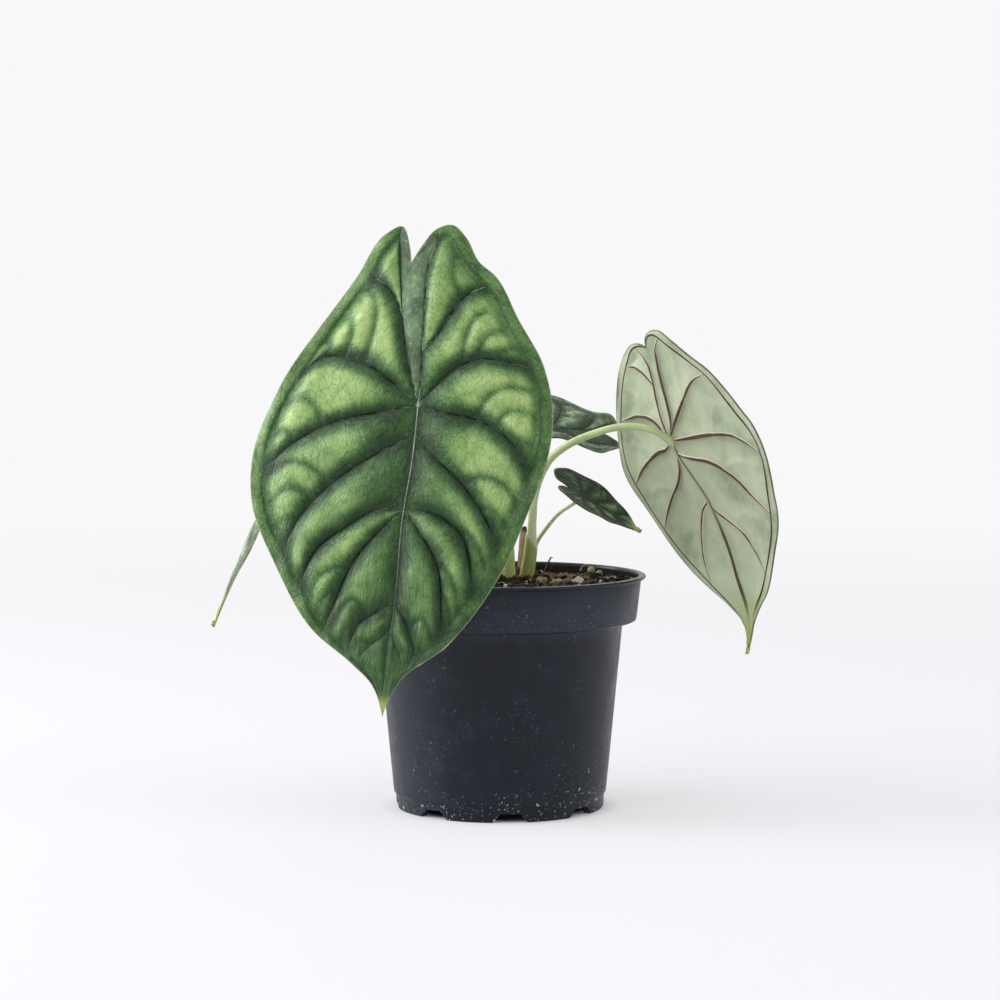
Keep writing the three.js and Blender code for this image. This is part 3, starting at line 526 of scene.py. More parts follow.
# %% The young leaf, with the same veins in both halves
YOUNG_VEINS = [vein(0, [(-8, -14), (-15, -28)], 0.17), vein(0, [(-16, -11), (-34, -21)], 0.37),
               vein(0, [(-16, 5), (-38, 10)], 0.53), vein(0.2, [(-14, 35), (-31, 50)], 0.7),
               vein(0.5, [(-10, 72), (-19, 84)], 0.87)]
YOUNG_BRANCHES = [(1, 0.5, 0.95, 0.4), (2, 0.5, 0.95, 0.4), (2, 0.75, 0.97, 0.7), (3, 0.45, 0.95, 0.35),
                  (3, 0.7, 0.97, 0.7), (4, 0.5, 0.95, 0.4)]
YOUNG = {
    "margin": 6, "tip": (84, 114),
    "left": [(0, -12), (-4, -26), (-11, -42), (-22, -48), (-37, -42), (-50, -22), (-56, 2), (-53, 34),
             (-39, 66), (-20, 94), (-6, 110), (0, 122)],
    "right": [(0, -12), (2, -36), (10, -60), (23, -68), (38, -55), (50, -28), (54, 2), (50, 34), (37, 66),
              (19, 94), (6, 110), (0, 122)],
    "mid": [(0, 0), (0, 60), (0, 122)], "seam": [(0, -4), (0, -8)],
    "left_veins": YOUNG_VEINS,
    "right_veins": [{**one, "via": [(-u, v) for u, v in one["via"]]} for one in YOUNG_VEINS],
    "left_tones": [0.6, 0.6, 0.8, 0.95, 1, 1], "right_tones": [0.5, 0.5, 0.6, 0.8, 1, 1],
    "left_branches": YOUNG_BRANCHES, "right_branches": YOUNG_BRANCHES,
}
print("young leaf:", len(YOUNG["left_veins"] + YOUNG["right_veins"]), "side veins")

# %% [markdown]
# ## Where each leaf hangs
# `at` is where the stalk joins, `facing` the way the upper side looks, and `down` runs towards the tip.
# `puff` is how far the skin swells between two veins: this swelling makes the dragon scales.

# %% Places and bends of the five leaves
LEAVES = {
    "front": dict(shape=BROAD, size=1, at=(-32, -55, 167.3), facing=(-0.19, -0.96, 0.19),
                  down=(-0.116, -0.172, -0.978), arch=0.0011, fold=0, droop=0.0003, lobes=(1, 1), puff=2.9,
                  wave=0.8, pitch=0.95, rows=84, ripple=0),
    "right": dict(shape=NARROW, size=1, at=(70.5, -5, 151.3), facing=(0.75, 0.585, 0.31),
                  down=(0.343, 0.055, -0.938), arch=0.0006, fold=0.04, droop=0.0003, lobes=(1, 1), puff=1.3,
                  wave=0.6, pitch=0.8, rows=70, ripple=0),
    "back": dict(shape=BROAD, size=0.43, at=(20, 52, 151.7), facing=(-0.13, -0.33, 0.93),
                 down=(-0.97, 0.05, -0.2), arch=0, fold=0.32, droop=0.002, lobes=(2.5, 10.5), puff=1.2,
                 wave=0.5, pitch=0.8, rows=40, ripple=0.16),
    "left": dict(shape=YOUNG, size=0.6, at=(-91.5, 20, 138.2), facing=(-0.9, -0.06, 0.42),
                 down=(-0.445, 0.05, -0.893), arch=0.002, fold=0, droop=0.0006, lobes=(1, 1), puff=1, wave=0.4,
                 pitch=1.0, rows=50, ripple=0.1),
    "small": dict(shape=YOUNG, size=0.23, at=(34, -3, 128.2), facing=(0.475, -0.42, 0.775),
                  down=(0.853, 0, -0.522), arch=0, fold=0.2, droop=0, lobes=(0, 0), puff=0.6, wave=0.3,
                  pitch=0.6, rows=30, ripple=0.08),
}
print("leaf sizes:", {name: leaf["size"] for name, leaf in LEAVES.items()})
BLADE = 0.7
RIB_AT_STALK = 0.9
RIB_ON_VEIN = 0.6
LOBE_TAPER = 0.1
TIP_TAPER = 0.24
EDGE_SWAYS = 24
BRIM_ROWS = 6
FIELD_GAP = 40
HALF_GAP = 300
FULL_FIELD = 14
FURROW_WIDTH = 1.9
FURROW_DEPTH = 0.42
LIGHT_REACH = 8.5
EDGE_SAMPLES = 401
SMOOTHINGS = 50
MERGE_WITHIN = 0.012
SLIVER = 0.002
VEIN_HALF_WIDTH = 0.75
MIDRIB_HALF_WIDTH = 1.15


def unit(vector):
    vector = np.array(vector, float)
    return vector / np.linalg.norm(vector)


def leaf_axes(leaf):
    """Unit vectors across the leaf, down to its tip and out of its upper side."""
    facing = unit(leaf["facing"])
    down = np.array(leaf["down"], float)
    down = unit(down - facing * (down @ facing))
    return np.cross(facing, down), down, facing


def midrib_height(leaf, fraction):
    return RIB_AT_STALK / leaf["size"] ** 0.3 * (1 - 0.85 * fraction)


# %% [markdown]
# ## From veins to fields
# Each half of a leaf is a row of fields, and a field lies between two neighbouring veins. The two veins,
# the midrib and the collecting vein bound it, so any point inside is a blend of those four lines. That
# puts mesh lines exactly on the veins, where the skin has its creases.


# %% The veins of one half and the points of one field
def inner_edge(edge, side, margin):
    """The collecting vein: the edge moved inwards, then smoothed so that it rounds the lobes."""
    turn = 1 if side == "left" else -1
    f = np.linspace(0, 1, EDGE_SAMPLES)
    along = edge(np.minimum(1, f + 0.004)) - edge(np.maximum(0, f - 0.004))
    along /= np.linalg.norm(along, axis=1)[:, None]
    path = edge(f) + turn * along[:, ::-1] * (1, -1) * margin_at(f, margin)[:, None]
    for _ in range(SMOOTHINGS):
        path[1:-1] = 0.5 * path[1:-1] + 0.25 * (path[:-2] + path[2:])

    def at(fraction):
        fraction = np.atleast_1d(fraction)
        return np.stack([np.interp(fraction, f, path[:, 0]), np.interp(fraction, f, path[:, 1])], axis=1)

    return at


def margin_at(fraction, margin):
    return margin * np.minimum(1, np.minimum(fraction / LOBE_TAPER, (1 - fraction) / TIP_TAPER))


def forked(parent, tail, fork):
    def at(fraction):
        fraction = np.atleast_1d(fraction)
        own = tail(np.maximum(0, (fraction - fork) / (1 - fork)))
        return np.where((fraction < fork)[:, None], parent(fraction), own)

    at.length = parent.length * fork + tail.length
    return at


def rays_of(shape, side, mid, inner, rows):
    """The veins of one half as lines, from the seam under the notch round to the tip."""
    seam = smooth_line([(0, 0), *shape["seam"], inner(0)[0]])
    rays = [{"start": 0, "end": 0, "strength": 0, "fork": 0, "line": seam}]
    for one in shape[side + "_veins"]:
        last = inner(one["end"])[0]
        fork = round(one["fork"] * rows) / rows
        if fork:
            parent = rays[-1]["line"]
            line = forked(parent, smooth_line([parent(fork)[0], *one["via"], last]), fork)
        else:
            line = smooth_line([mid(one["start"])[0], *one["via"], last])
        strength = one["strength"] * (0.55 + 0.45 * (1 - one["start"]))
        rays.append({**one, "fork": fork, "strength": strength, "line": line})
    tip = inner(1)[0]

    def still(fraction):
        return np.repeat(tip[None], len(np.atleast_1d(fraction)), axis=0)

    still.length = 1
    rays.append({"start": 1, "end": 1, "strength": 0, "fork": 0, "line": still})
    return rays


def field_points(a, b, mid, inner, t, s):
    """Points between veins a and b: t runs from a to b, s from the midrib to the collecting vein."""
    first = b["fork"]
    sigma = first + (1 - first) * s
    t, s = t[:, None], s[:, None]

    def start(x):
        x = np.ravel(x)
        return a["line"](np.full(len(x), first)) if first else mid(a["start"] + (b["start"] - a["start"]) * x)

    def end(x):
        return inner(a["end"] + (b["end"] - a["end"]) * np.ravel(x))

    line_a, line_b = a["line"](sigma), b["line"](sigma)
    points = line_a + (line_b - line_a) * t
    points += (1 - s) * (start(t) - (1 - t) * start([0.0]) - t * start([1.0]))
    hold = 1 if b["start"] == 1 else 2.5
    points += s ** hold * (end(t) - (1 - t) * end([0.0]) - t * end([1.0]))
    return points, np.linalg.norm(line_b - line_a, axis=1), sigma


def branch_paths(shape, side, rays, mid, inner):
    """The soft furrows of one half, each bending out from the lower vein of its field."""
    paths = []
    for field, s0, s1, t1 in shape[side + "_branches"]:
        x = np.linspace(0, 1, 13)
        bent = s0 + 0.25 * (s1 - s0)
        s = (1 - x) ** 2 * s0 + 2 * x * (1 - x) * bent + x * x * s1
        t = (1 - x) ** 2 + 2 * x * (1 - x) * (t1 + 0.1 * (1 - t1)) + x * x * t1
        paths.append(field_points(rays[field], rays[field + 1], mid, inner, t, s)[0])
    return paths


# %% [markdown]
# ## The skin of a field
# The skin is tied down along the veins and swells between them. Branch furrows press it down a little,
# and the strip outside the collecting vein sways. Besides its place, every point of the skin keeps how
# far it is from the veins and the edge, in numbers that the leaf finishes read. The UV map counts
# millimetres along and across the veins, with a gap between fields so that their streaks differ.


# %% Heights and marks of one field
def field_skin(leaf, half, i, t, row):
    shape, size, rays = leaf["shape"], leaf["size"], half["rays"]
    slim = size ** 0.5
    a, b = rays[i], rays[i + 1]
    rows = round(leaf["rows"] * (1 - b["fork"]))
    s = np.minimum(1, row / rows)
    brim = np.maximum(0, row - rows) / BRIM_ROWS
    flat, wide, sigma = field_points(a, b, half["mid"], half["inner"], t, s)
    wide = wide * size
    fraction = a["end"] + (b["end"] - a["end"]) * t
    flat += (half["edge"](fraction) - half["inner"](fraction)) * brim[:, None]

    long = (a["line"].length + (b["line"].length - a["line"].length) * t) * size
    taper = VEIN_HALF_WIDTH * (1 - 0.45 * sigma) * slim
    far = np.full(len(t), 99.0)
    to_a = t * wide if a["strength"] else far
    to_b = (1 - t) * wide if b["strength"] else far
    to_vein = np.minimum(to_a, to_b) + brim * shape["margin"] * size
    to_vein += 3 * ease(flat[:, 1], shape["tip"][1] - 22, shape["tip"][1] - 8) * size
    to_mid = distance_to(flat, half["mid"](np.linspace(0, 1, 60))) * size
    to_branch = np.min([distance_to(flat, path) for path in half["branches"]], axis=0) * size
    collar = margin_at(fraction, shape["margin"]) * size
    to_rim = np.where(brim > 0, brim * collar, distance_to(flat, half["inner"](np.linspace(0, 1, 160))) * size)
    to_edge = np.where(brim > 0, (1 - brim) * collar, collar + to_rim)

    arch = np.sin(np.pi * t) ** 0.7 * np.minimum(1, wide / FULL_FIELD)
    swell = arch if i else 0.25 * np.cos(np.pi * t / 2) ** 0.7
    swell = swell * ease(s, 0, 0.3) * ease(s, 1, 0.78)
    end = shape["mid"][-1][1]
    swell = swell * ease(flat[:, 1], end - 4, end - 46)
    furrow = np.exp(-(to_branch / (FURROW_WIDTH * slim)) ** 2)
    rise = leaf["puff"] * swell * (1 - FURROW_DEPTH * furrow)
    rise += leaf["ripple"] * np.sin(2 * np.pi * t * np.maximum(2, wide / 2.4)) * ease(swell, 0, 0.4)
    hump = 0.3 * leaf["puff"] * np.sin(np.pi * t) ** 2 * 4 * brim * (1 - brim)
    sway = leaf["wave"] * np.sin(EDGE_SWAYS * fraction)
    rise = np.where(brim > 0, (hump + sway * brim ** 1.5) * collar / (shape["margin"] * size), rise)

    v = flat[:, 1]
    down_rib = np.clip(v / shape["tip"][1], 0, 1)
    mid_width = MIDRIB_HALF_WIDTH * (1 - 0.7 * down_rib) * slim
    strength = np.where(to_a < to_b, a["strength"], b["strength"])
    round_vein = np.clip(1 - (to_vein / (1.15 * taper)) ** 2, 0, 1) ** 0.7
    round_mid = np.where(v > -0.5, np.clip(1 - (to_mid / mid_width) ** 2, 0, 1) ** 0.7, 0)
    rib = np.maximum(strength * RIB_ON_VEIN * (1 - 0.75 * sigma) * round_vein,
                     midrib_height(leaf, down_rib) * round_mid)
    rib = np.maximum(rib, 0.12 * np.clip(1 - (to_rim / 0.5) ** 2, 0, 1))

    tone = shape[half["side"] + "_tones"][i]
    reach = np.minimum(LIGHT_REACH * slim, 0.42 * wide + 0.8) * (0.6 if i == 1 else 1)
    light = tone * ease(np.minimum(to_vein, to_mid + 1.0) / reach, 0.02, 1)
    low = 0.25 + 0.6 * min(1, a["start"] / 0.35 + 0.4 * (i == 1))
    light *= low + (1 - low) * ease(sigma, 0.08, 0.5)
    light *= (1 - 0.5 * np.exp(-(to_branch / (1.7 * slim)) ** 2)) * (0.5 + 0.5 * ease(to_rim, 0.3, 4.5 * slim))
    # The strip outside the collecting vein has its own mid-green tone, with painted light over it: lighter on the
    # left half and darker downwards, as light from the upper left falls.
    margin_tone_and_light = (0.5 if half["side"] == "left" else 0.4) - 0.16 * ease(v, 20, 85)
    light = np.maximum(light, 0.3 * ease(v, end - 42, end - 14))
    light = np.where(brim > 0, margin_tone_and_light * ease(to_rim, 0, 2.5 * slim) + 0.08, light)
    marks = {
        "light": light, "vein": to_vein / (taper * np.clip(1.3 * strength, 0.3, 1)),
        "mid": np.where(v > -0.5, to_mid / mid_width, 9), "branch": to_branch, "rim": to_rim, "edge": to_edge,
        "rib": rib, "tip": ease(v, *shape["tip"]), "down": down_rib,
        "joint": np.linalg.norm(flat, axis=1) * size,
        "seam": ease(np.full(len(t), float(i)), 0.9, 0.1) * (v < 0),
        "glint": np.full(len(t), 1.0 if i < 2 or b["start"] == 1 else 0.25) * ease(to_edge, 0, 8),
    }
    along = s * long + brim * collar + FIELD_GAP * i
    out = t * wide + (HALF_GAP if half["side"] == "left" else 0)
    return flat, rise, marks, along, out


def place_skin(leaf, flat, rise):
    """Bend the flat leaf and hang it in its place, in mm."""
    across, down, facing = leaf_axes(leaf)
    u, v = flat.T
    x, y = u * leaf["size"], v * leaf["size"]
    below = np.maximum(0, y - 30 * leaf["size"])
    lobe = leaf["lobes"][0] + (leaf["lobes"][1] - leaf["lobes"][0]) * ease(u, -25, 5)
    bend = leaf["arch"] * x * x + leaf["droop"] * below ** 2 + lobe * ease(v, -5, -55)
    lift = rise + leaf["fold"] * np.abs(x) - bend
    return np.array(leaf["at"]) + x[:, None] * across + y[:, None] * down + lift[:, None] * facing


# %% [markdown]
# ## Building a blade
# Each field is one grid, moved into place, and the grids are merged along the veins. The sheet is then
# extruded to the lower side by the blade's thickness, and a little further along each vein, which gives
# the raised ribs that feel like cords under a real leaf.


# %% Building one blade
MARKS = ("light", "vein", "mid", "branch", "rim", "edge", "rib", "tip", "seam", "glint", "down", "joint")


def leaf_halves(leaf):
    shape = leaf["shape"]
    mid = smooth_line(shape["mid"])
    halves = []
    for side in ("left", "right"):
        edge = smooth_line(shape[side])
        inner = inner_edge(edge, side, shape["margin"])
        rays = rays_of(shape, side, mid, inner, leaf["rows"])
        branches = branch_paths(shape, side, rays, mid, inner)
        halves.append(dict(side=side, mid=mid, edge=edge, inner=inner, rays=rays, branches=branches))
    return halves


def columns_of(leaf, halves):
    """How many columns each field gets: the same in both halves where they meet at the midrib."""
    columns = {}
    for h, half in enumerate(halves):
        for i, (a, b) in enumerate(zip(half["rays"], half["rays"][1:])):
            s = np.array([0.6, 1.0])
            wide = np.linalg.norm(a["line"](s) - b["line"](s), axis=1).max() * leaf["size"]
            key = (a["start"], b["start"]) if a["start"] != b["start"] else (h, i)
            columns[key] = max(columns.get(key, 8), min(30, round(1.15 * wide / leaf["pitch"])))
            half.setdefault("keys", []).append(key)
    return columns


def make_blade(name, materials):
    leaf = LEAVES[name]
    halves = leaf_halves(leaf)
    columns = columns_of(leaf, halves)
    bm = bmesh.new()
    uv = bm.loops.layers.uv.new("field")
    layers = {mark: bm.verts.layers.float.new(mark) for mark in MARKS}
    for half in halves:
        for i, key in enumerate(half["keys"]):
            rows = round(leaf["rows"] * (1 - half["rays"][i + 1]["fork"])) + BRIM_ROWS
            bm.faces.ensure_lookup_table()
            old = len(bm.faces)
            verts = bmesh.ops.create_grid(bm, x_segments=columns[key], y_segments=rows, size=0.5)["verts"]
            grid = np.array([vert.co[:2] for vert in verts]) + 0.5
            t = np.clip(0.75 * (0.5 - 0.5 * np.cos(np.pi * grid[:, 0])) + 0.25 * grid[:, 0], 0, 1)
            row = np.round(grid[:, 1] * rows)
            flat, rise, marks, along, out = field_skin(leaf, half, i, t, row)
            for n, (vert, point) in enumerate(zip(verts, place_skin(leaf, flat, rise) * MM)):
                vert.co = point
                for mark, layer in layers.items():
                    vert[layer] = marks[mark][n]
            number = {vert: n for n, vert in enumerate(verts)}
            bm.faces.ensure_lookup_table()
            for face in bm.faces[old:]:
                for loop in face.loops:
                    n = number[loop.vert]
                    loop[uv].uv = (along[n], out[n])
                if half["side"] == "right":
                    face.normal_flip()
    bmesh.ops.remove_doubles(bm, verts=bm.verts[:], dist=MERGE_WITHIN * MM)
    bmesh.ops.dissolve_degenerate(bm, edges=bm.edges[:], dist=SLIVER * MM)
    bm.normal_update()
    facing = Vector(leaf_axes(leaf)[2])
    if sum(face.normal.dot(facing) * face.calc_area() for face in bm.faces) < 0:
        bmesh.ops.reverse_faces(bm, faces=bm.faces[:])
        bm.normal_update()
    upper = set(bm.faces)
    made = bmesh.ops.extrude_face_region(bm, geom=bm.faces[:])["geom"]
    for item in made:
        if isinstance(item, bmesh.types.BMVert):
            item.co -= item.normal * (BLADE + item[layers["rib"]]) * MM
        elif isinstance(item, bmesh.types.BMFace):
            item.material_index = 1
    for face in bm.faces:
        if face not in upper and face.material_index == 0:
            face.material_index = 2
    new_piece("leaf_" + name, bm, materials, "blade_" + name)


# %% [markdown]
# ## Leaf finishes
# The upper side is dark green along every vein and light yellow green on the swellings, with feathered
# streaks between the two. The stored marks say where a point lies, so the colours follow the real veins.


# %% Upper side
def upper_finish(name, colors, dull, pale_line, rind_color, streak=0.56, roughness=0.4, gloss=0.26,
                 line_color=(0.01, 0.028, 0.012), relief=0.55, weave=(0.7, 0.16), tip_color=(0.4, 0.5, 0.12)):
    f = Finish(name, colors[1], roughness, gloss)
    field, place = f.put("UVMap", {}, uv_map="field")["UV"], f.place()
    vein, mid = f.mark("vein"), f.mark("mid")
    feather = f.use(streaks, Vector=field, Along=weave[0], Across=weave[1], Roughness=0.7)
    fine = f.use(streaks, Vector=field, Along=3.4 * weave[0], Across=4.4 * weave[1], Roughness=0.7)
    cloud, grain = f.noise(place, 120.0, 5.0, 0.62), f.noise(place, 1500.0, 3.0)
    drift = f.noise(field, 0.16, 2.0, out="Color")
    shifted = f.vector("MULTIPLY_ADD", {0: drift, 1: (7.0, 7.0, 0.0), 2: field})
    net = f.put("TexVoronoi", {"Vector": shifted, "Scale": 0.24}, feature="DISTANCE_TO_EDGE")["Distance"]
    netting = f.line(net, 0.0, 0.09)
    tone = f.minus(f.mark("light"), f.times(netting, 0.1))
    for value, weight in [(feather, streak), (fine, streak * 0.8), (cloud, 0.9), (grain, 0.42)]:
        tone = f.plus(tone, f.times(f.minus(value, 0.5), weight))
    f.color = f.ramp(f.times(tone, 0.8), list(zip((0.0, 0.28, 0.54, 0.8, 1.0), colors)))

    frost = f.noise(place, 420.0, 5.0, 0.7)
    mottled = f.blend(f.step(cloud, 0.38, 0.62), tint(dull, 0.5), dull)
    mottled = f.blend(f.step(frost, 0.52, 0.4, 0.0, 0.5), mottled, tint(dull, 0.35))
    mottled = f.blend(f.step(frost, 0.56, 0.66, 0.0, 0.8), mottled, pale_line)
    f.paint(f.mark("seam"), f.step(vein, 0.0, 3.0, 0.2, 0.8), mottled)
    vein_line, midrib = f.line(vein, 0.08, 0.45), f.line(mid, 0.08, 0.24)
    f.paint(vein_line, 0.55, line_color)
    f.paint(f.line(mid, 0.6, 1.1), f.step(f.mark("down"), 0.92, 0.6, 0.0, 0.8), line_color)
    broken = f.step(f.noise(place, 260.0, 4.0), 0.42, 0.56)
    glint = f.times(f.times(f.mark("glint"), broken), f.line(vein, 0.14, 0.3))
    f.paint(glint, 0.95, tint(pale_line, 1.5))
    fading = f.times(f.step(f.mark("down"), 0.1, 0.75, 0.9, 0.5), f.step(broken, 0.0, 1.0, 0.6, 1.0))
    f.paint(midrib, fading, pale_line)
    f.paint(f.line(f.mark("joint"), 0.4, 0.9), 0.7, pale_line)
    f.paint(f.line(f.mark("branch"), 0.0, 0.9), 0.35, line_color)
    f.paint(f.mark("tip"), 0.9, tip_color)
    f.paint(f.line(f.mark("edge"), 0.1, 0.3), 0.7, rind_color)
    f.paint(f.use(dust, Vector=place, Scale=330.0, Size=0.09, Coverage=0.14), 0.4, (0.5, 0.55, 0.45))
    height = f.sum([(feather, 0.4), (fine, 0.3), (grain, 0.25), (netting, -0.25), (vein_line, -0.9),
                    (midrib, 0.5)])
    return f.done(f.step(cloud, 0.3, 0.7, roughness + 0.08, roughness - 0.08), height, 0.7, relief)


# %% [markdown]
# The lower side is matte and pale, and its ribs are purple brown. The rib's own distance mark draws its
# colour, so colour and raised mesh always agree. Pale lilac patches on it are painted sheen, and its part
# towards the tip is painted paler, as painted light.


# %% Lower side and edge
def lower_finish(name, pale, rib_color, roughness=0.55, gloss=0.2):
    f = Finish(name, pale, roughness, gloss)
    field, place = f.put("UVMap", {}, uv_map="field")["UV"], f.place()
    vein, mid, down = f.mark("vein"), f.mark("mid"), f.mark("down")
    cloud, grain = f.noise(place, 55.0, 5.0, 0.6), f.noise(place, 1300.0, 3.0)
    bruise = f.noise(place, 130.0, 6.0, 0.75)
    feather = f.use(streaks, Vector=field, Along=0.6, Across=0.12, Roughness=0.6)
    red, green, blue = pale
    f.paint(f.step(cloud, 0.42, 0.72), 1, (0.6072 * red, 0.66 * green, 0.627 * blue))
    f.paint(f.step(feather, 0.5, 0.75), 0.35, tint(pale, 1.15))
    # Painted sheen: pale lilac patches, bluer and lighter than the skin, stand in for soft highlights.
    sheen_patches = f.noise(place, 100.0, 6.0, 0.65, 0.6)
    f.paint(f.step(sheen_patches, 0.48, 0.66), 0.4, (1.12 * red, 1.06 * green, 1.2 * blue))
    f.paint(f.step(f.mark("light"), 0.45, 0.1, 0.0, 0.22), 1, tint(pale, 0.62))
    f.paint(f.step(bruise, 0.66, 0.74), 0.45, (0.12, 0.2, 0.11))
    f.paint(f.line(f.mark("branch"), 0.1, 0.5), 0.22, (0.2, 0.23, 0.13))
    # Painted light: from halfway towards the tip the lower side is painted paler, to lift the shade that falls on
    # the lower part of a blade.
    f.paint(f.step(down, 0.5, 0.75, 0.0, 0.5), 1, tint(pale, 1.5))
    f.paint(f.line(vein, 0.8, 0.8), 0.75, (0.6, 0.48, 0.4))

    dark_rib = f.blend(f.step(grain, 0.35, 0.7), rib_color, tint(rib_color, 1.5))
    wobble = f.times(f.minus(bruise, 0.5), 0.9)
    inked = f.step(down, 0.92, 0.8)
    f.paint(f.line(f.plus(vein, wobble), 0.34, 0.26), 0.96, dark_rib)
    f.paint(f.times(f.line(mid, 0.7, 0.25), 0.93), inked, dark_rib)
    f.paint(f.times(f.line(mid, 0.35, 0.3), 0.9), f.step(down, 0.5, 0.3), (0.34, 0.36, 0.2))
    f.paint(f.line(f.mark("joint"), 1.6, 2.2), 0.9, (0.4, 0.47, 0.22))
    f.paint(f.line(f.mark("rim"), 0.2, 0.22), inked, tint(rib_color, 0.8))
    f.paint(f.line(f.mark("edge"), 0.2, 0.3), 0.7, (0.16, 0.14, 0.09))
    f.paint(f.mark("tip"), 1, (0.42, 0.5, 0.17))
    rough = f.step(grain, 0.3, 0.7, roughness - 0.05, roughness + 0.08)
    return f.done(rough, f.sum([(grain, 0.3), (feather, 0.5)]), 0.3, 0.25)


def rind_finish(name, color):
    """The thin edge of a blade: brown and green by turns."""
    f = Finish(name, color, 0.5, 0.25)
    spots = f.noise(f.place(), 240.0, 4.0)
    f.color = f.blend(f.step(spots, 0.35, 0.65), tint(color, 0.65), tint(color, 1.2))
    return f.done(f.step(spots, 0.3, 0.7, 0.42, 0.58))


GREENS = [(0.012, 0.034, 0.01), (0.042, 0.1, 0.027), (0.12, 0.22, 0.068), (0.26, 0.38, 0.13), (0.4, 0.5, 0.2)]
DARK_GREENS = [(0.02, 0.038, 0.022), (0.055, 0.09, 0.045), (0.13, 0.18, 0.1), (0.21, 0.28, 0.17),
               (0.32, 0.39, 0.27)]
rind_light = rind_finish("leaf_rind_light", (0.32, 0.33, 0.22))
rind_dark = rind_finish("leaf_rind_dark", (0.12, 0.11, 0.07))
leaf_green = upper_finish("leaf_green", GREENS, (0.16, 0.25, 0.14), (0.29, 0.35, 0.25), (0.3, 0.3, 0.2))
leaf_dark = upper_finish("leaf_dark_green", DARK_GREENS, (0.04, 0.07, 0.035), (0.05, 0.08, 0.045),
                         (0.06, 0.07, 0.04), streak=2.6, roughness=0.42, relief=0.9, weave=(1.4, 0.2),
                         tip_color=(0.54, 0.62, 0.29))
leaf_pale = lower_finish("leaf_pale_underside", (0.388, 0.436, 0.298), (0.044, 0.024, 0.014))
leaf_dull = lower_finish("leaf_dull_underside", (0.2, 0.27, 0.15), (0.06, 0.03, 0.025))
print("leaf finishes:", leaf_green.name, leaf_dark.name, leaf_pale.name, leaf_dull.name)

# %% [markdown]
# The two large leaves are light green, and the three smaller ones are darker with stronger streaks. Each
# blade takes three finishes, for its upper side, its lower side and its thin edge.

# %% The five blades
for name, upper, lower, edge, slot in [
        ("front", leaf_green, leaf_pale, rind_light, "leaf_light"),
        ("right", leaf_green, leaf_pale, rind_dark, "leaf_pale"),
        ("back", leaf_dark, leaf_dull, rind_dark, "leaf_dark"),
        ("left", leaf_dark, leaf_dull, rind_light, "leaf_dark"),
        ("small", leaf_dark, leaf_dull, rind_dark, "leaf_dark")]:
    make_blade(name, [upper, lower, edge])

# %% [markdown]
# ## Stalks
# A stalk is a long tapering rod, bent by the weight of its leaf. A grid rolled into a tube keeps its
# mesh lines along the stalk, where the fine fibres of the skin run, and a sheath is a slightly thicker
# part that ends in a slanted mouth.

# %% Stalk lines and radii
STALK_FOOT = 86.3
STALKS = {
    "front": dict(path=[(3, -2, STALK_FOOT), (3, -2.2, 93), (2.7, -3, 110), (1.6, -6, 130), (-4, -16, 148),
                        (-14, -32, 160), (-24, -45, 165.4)],
                  radii=[3.3, 3.3, 2.9, 2.5, 2.1, 1.8, 1.6, 1.7], sheath=(105, 0.25, 1.2)),
    "right": dict(path=[(10.6, 4, STALK_FOOT), (10.9, 4, 93), (12.6, 3, 105), (13.3, 1, 118), (14, 0, 127),
                        (16.5, -1, 136), (20.7, -2, 143.5), (26, -3, 148), (32, -4, 151.4), (39.5, -5, 154.3),
                        (47, -6, 156.4), (56.5, -7, 156.8), (63.5, -7.4, 154.9)],
                  radii=[2.9, 2.9, 2.6, 2, 1.9, 1.85, 1.8, 1.75, 1.75, 1.7, 1.7, 1.6, 1.6, 1.8],
                  sheath=(106.3, 0.4, -0.35)),
    "back": dict(path=[(3, 8.5, STALK_FOOT), (3, 8.7, 93), (1, 20, 112), (1, 36, 131), (6, 50, 143),
                       (14, 54.5, 146.6)],
                 radii=[2, 2, 1.7, 1.5, 1.3, 1.2, 1.2], sheath=(97, 0.2, 2)),
    "left": dict(path=[(-3.5, 5, STALK_FOOT), (-3.8, 5.2, 93), (-12, 9, 115), (-30, 14, 132), (-55, 18, 140),
                       (-77, 20, 139.5)],
                 radii=[2.2, 2.2, 1.9, 1.6, 1.4, 1.3, 1.3], sheath=(99, 0.2, 3)),
    "small": dict(path=[(12.6, 8.8, STALK_FOOT), (13.2, 8.2, 98), (15.2, 5, 108.3), (19.4, 1.5, 115),
                        (24, -0.5, 120.6), (29.5, -2.4, 124.6)],
                  radii=[0.85, 0.85, 0.8, 0.8, 0.75, 0.7, 0.7], sheath=None),
}
SHEATH_SLANT = 6.0
SHEATH_LIP = 0.4
print("stalk lengths, mm:", {name: round(smooth_line(one["path"]).length) for name, one in STALKS.items()})


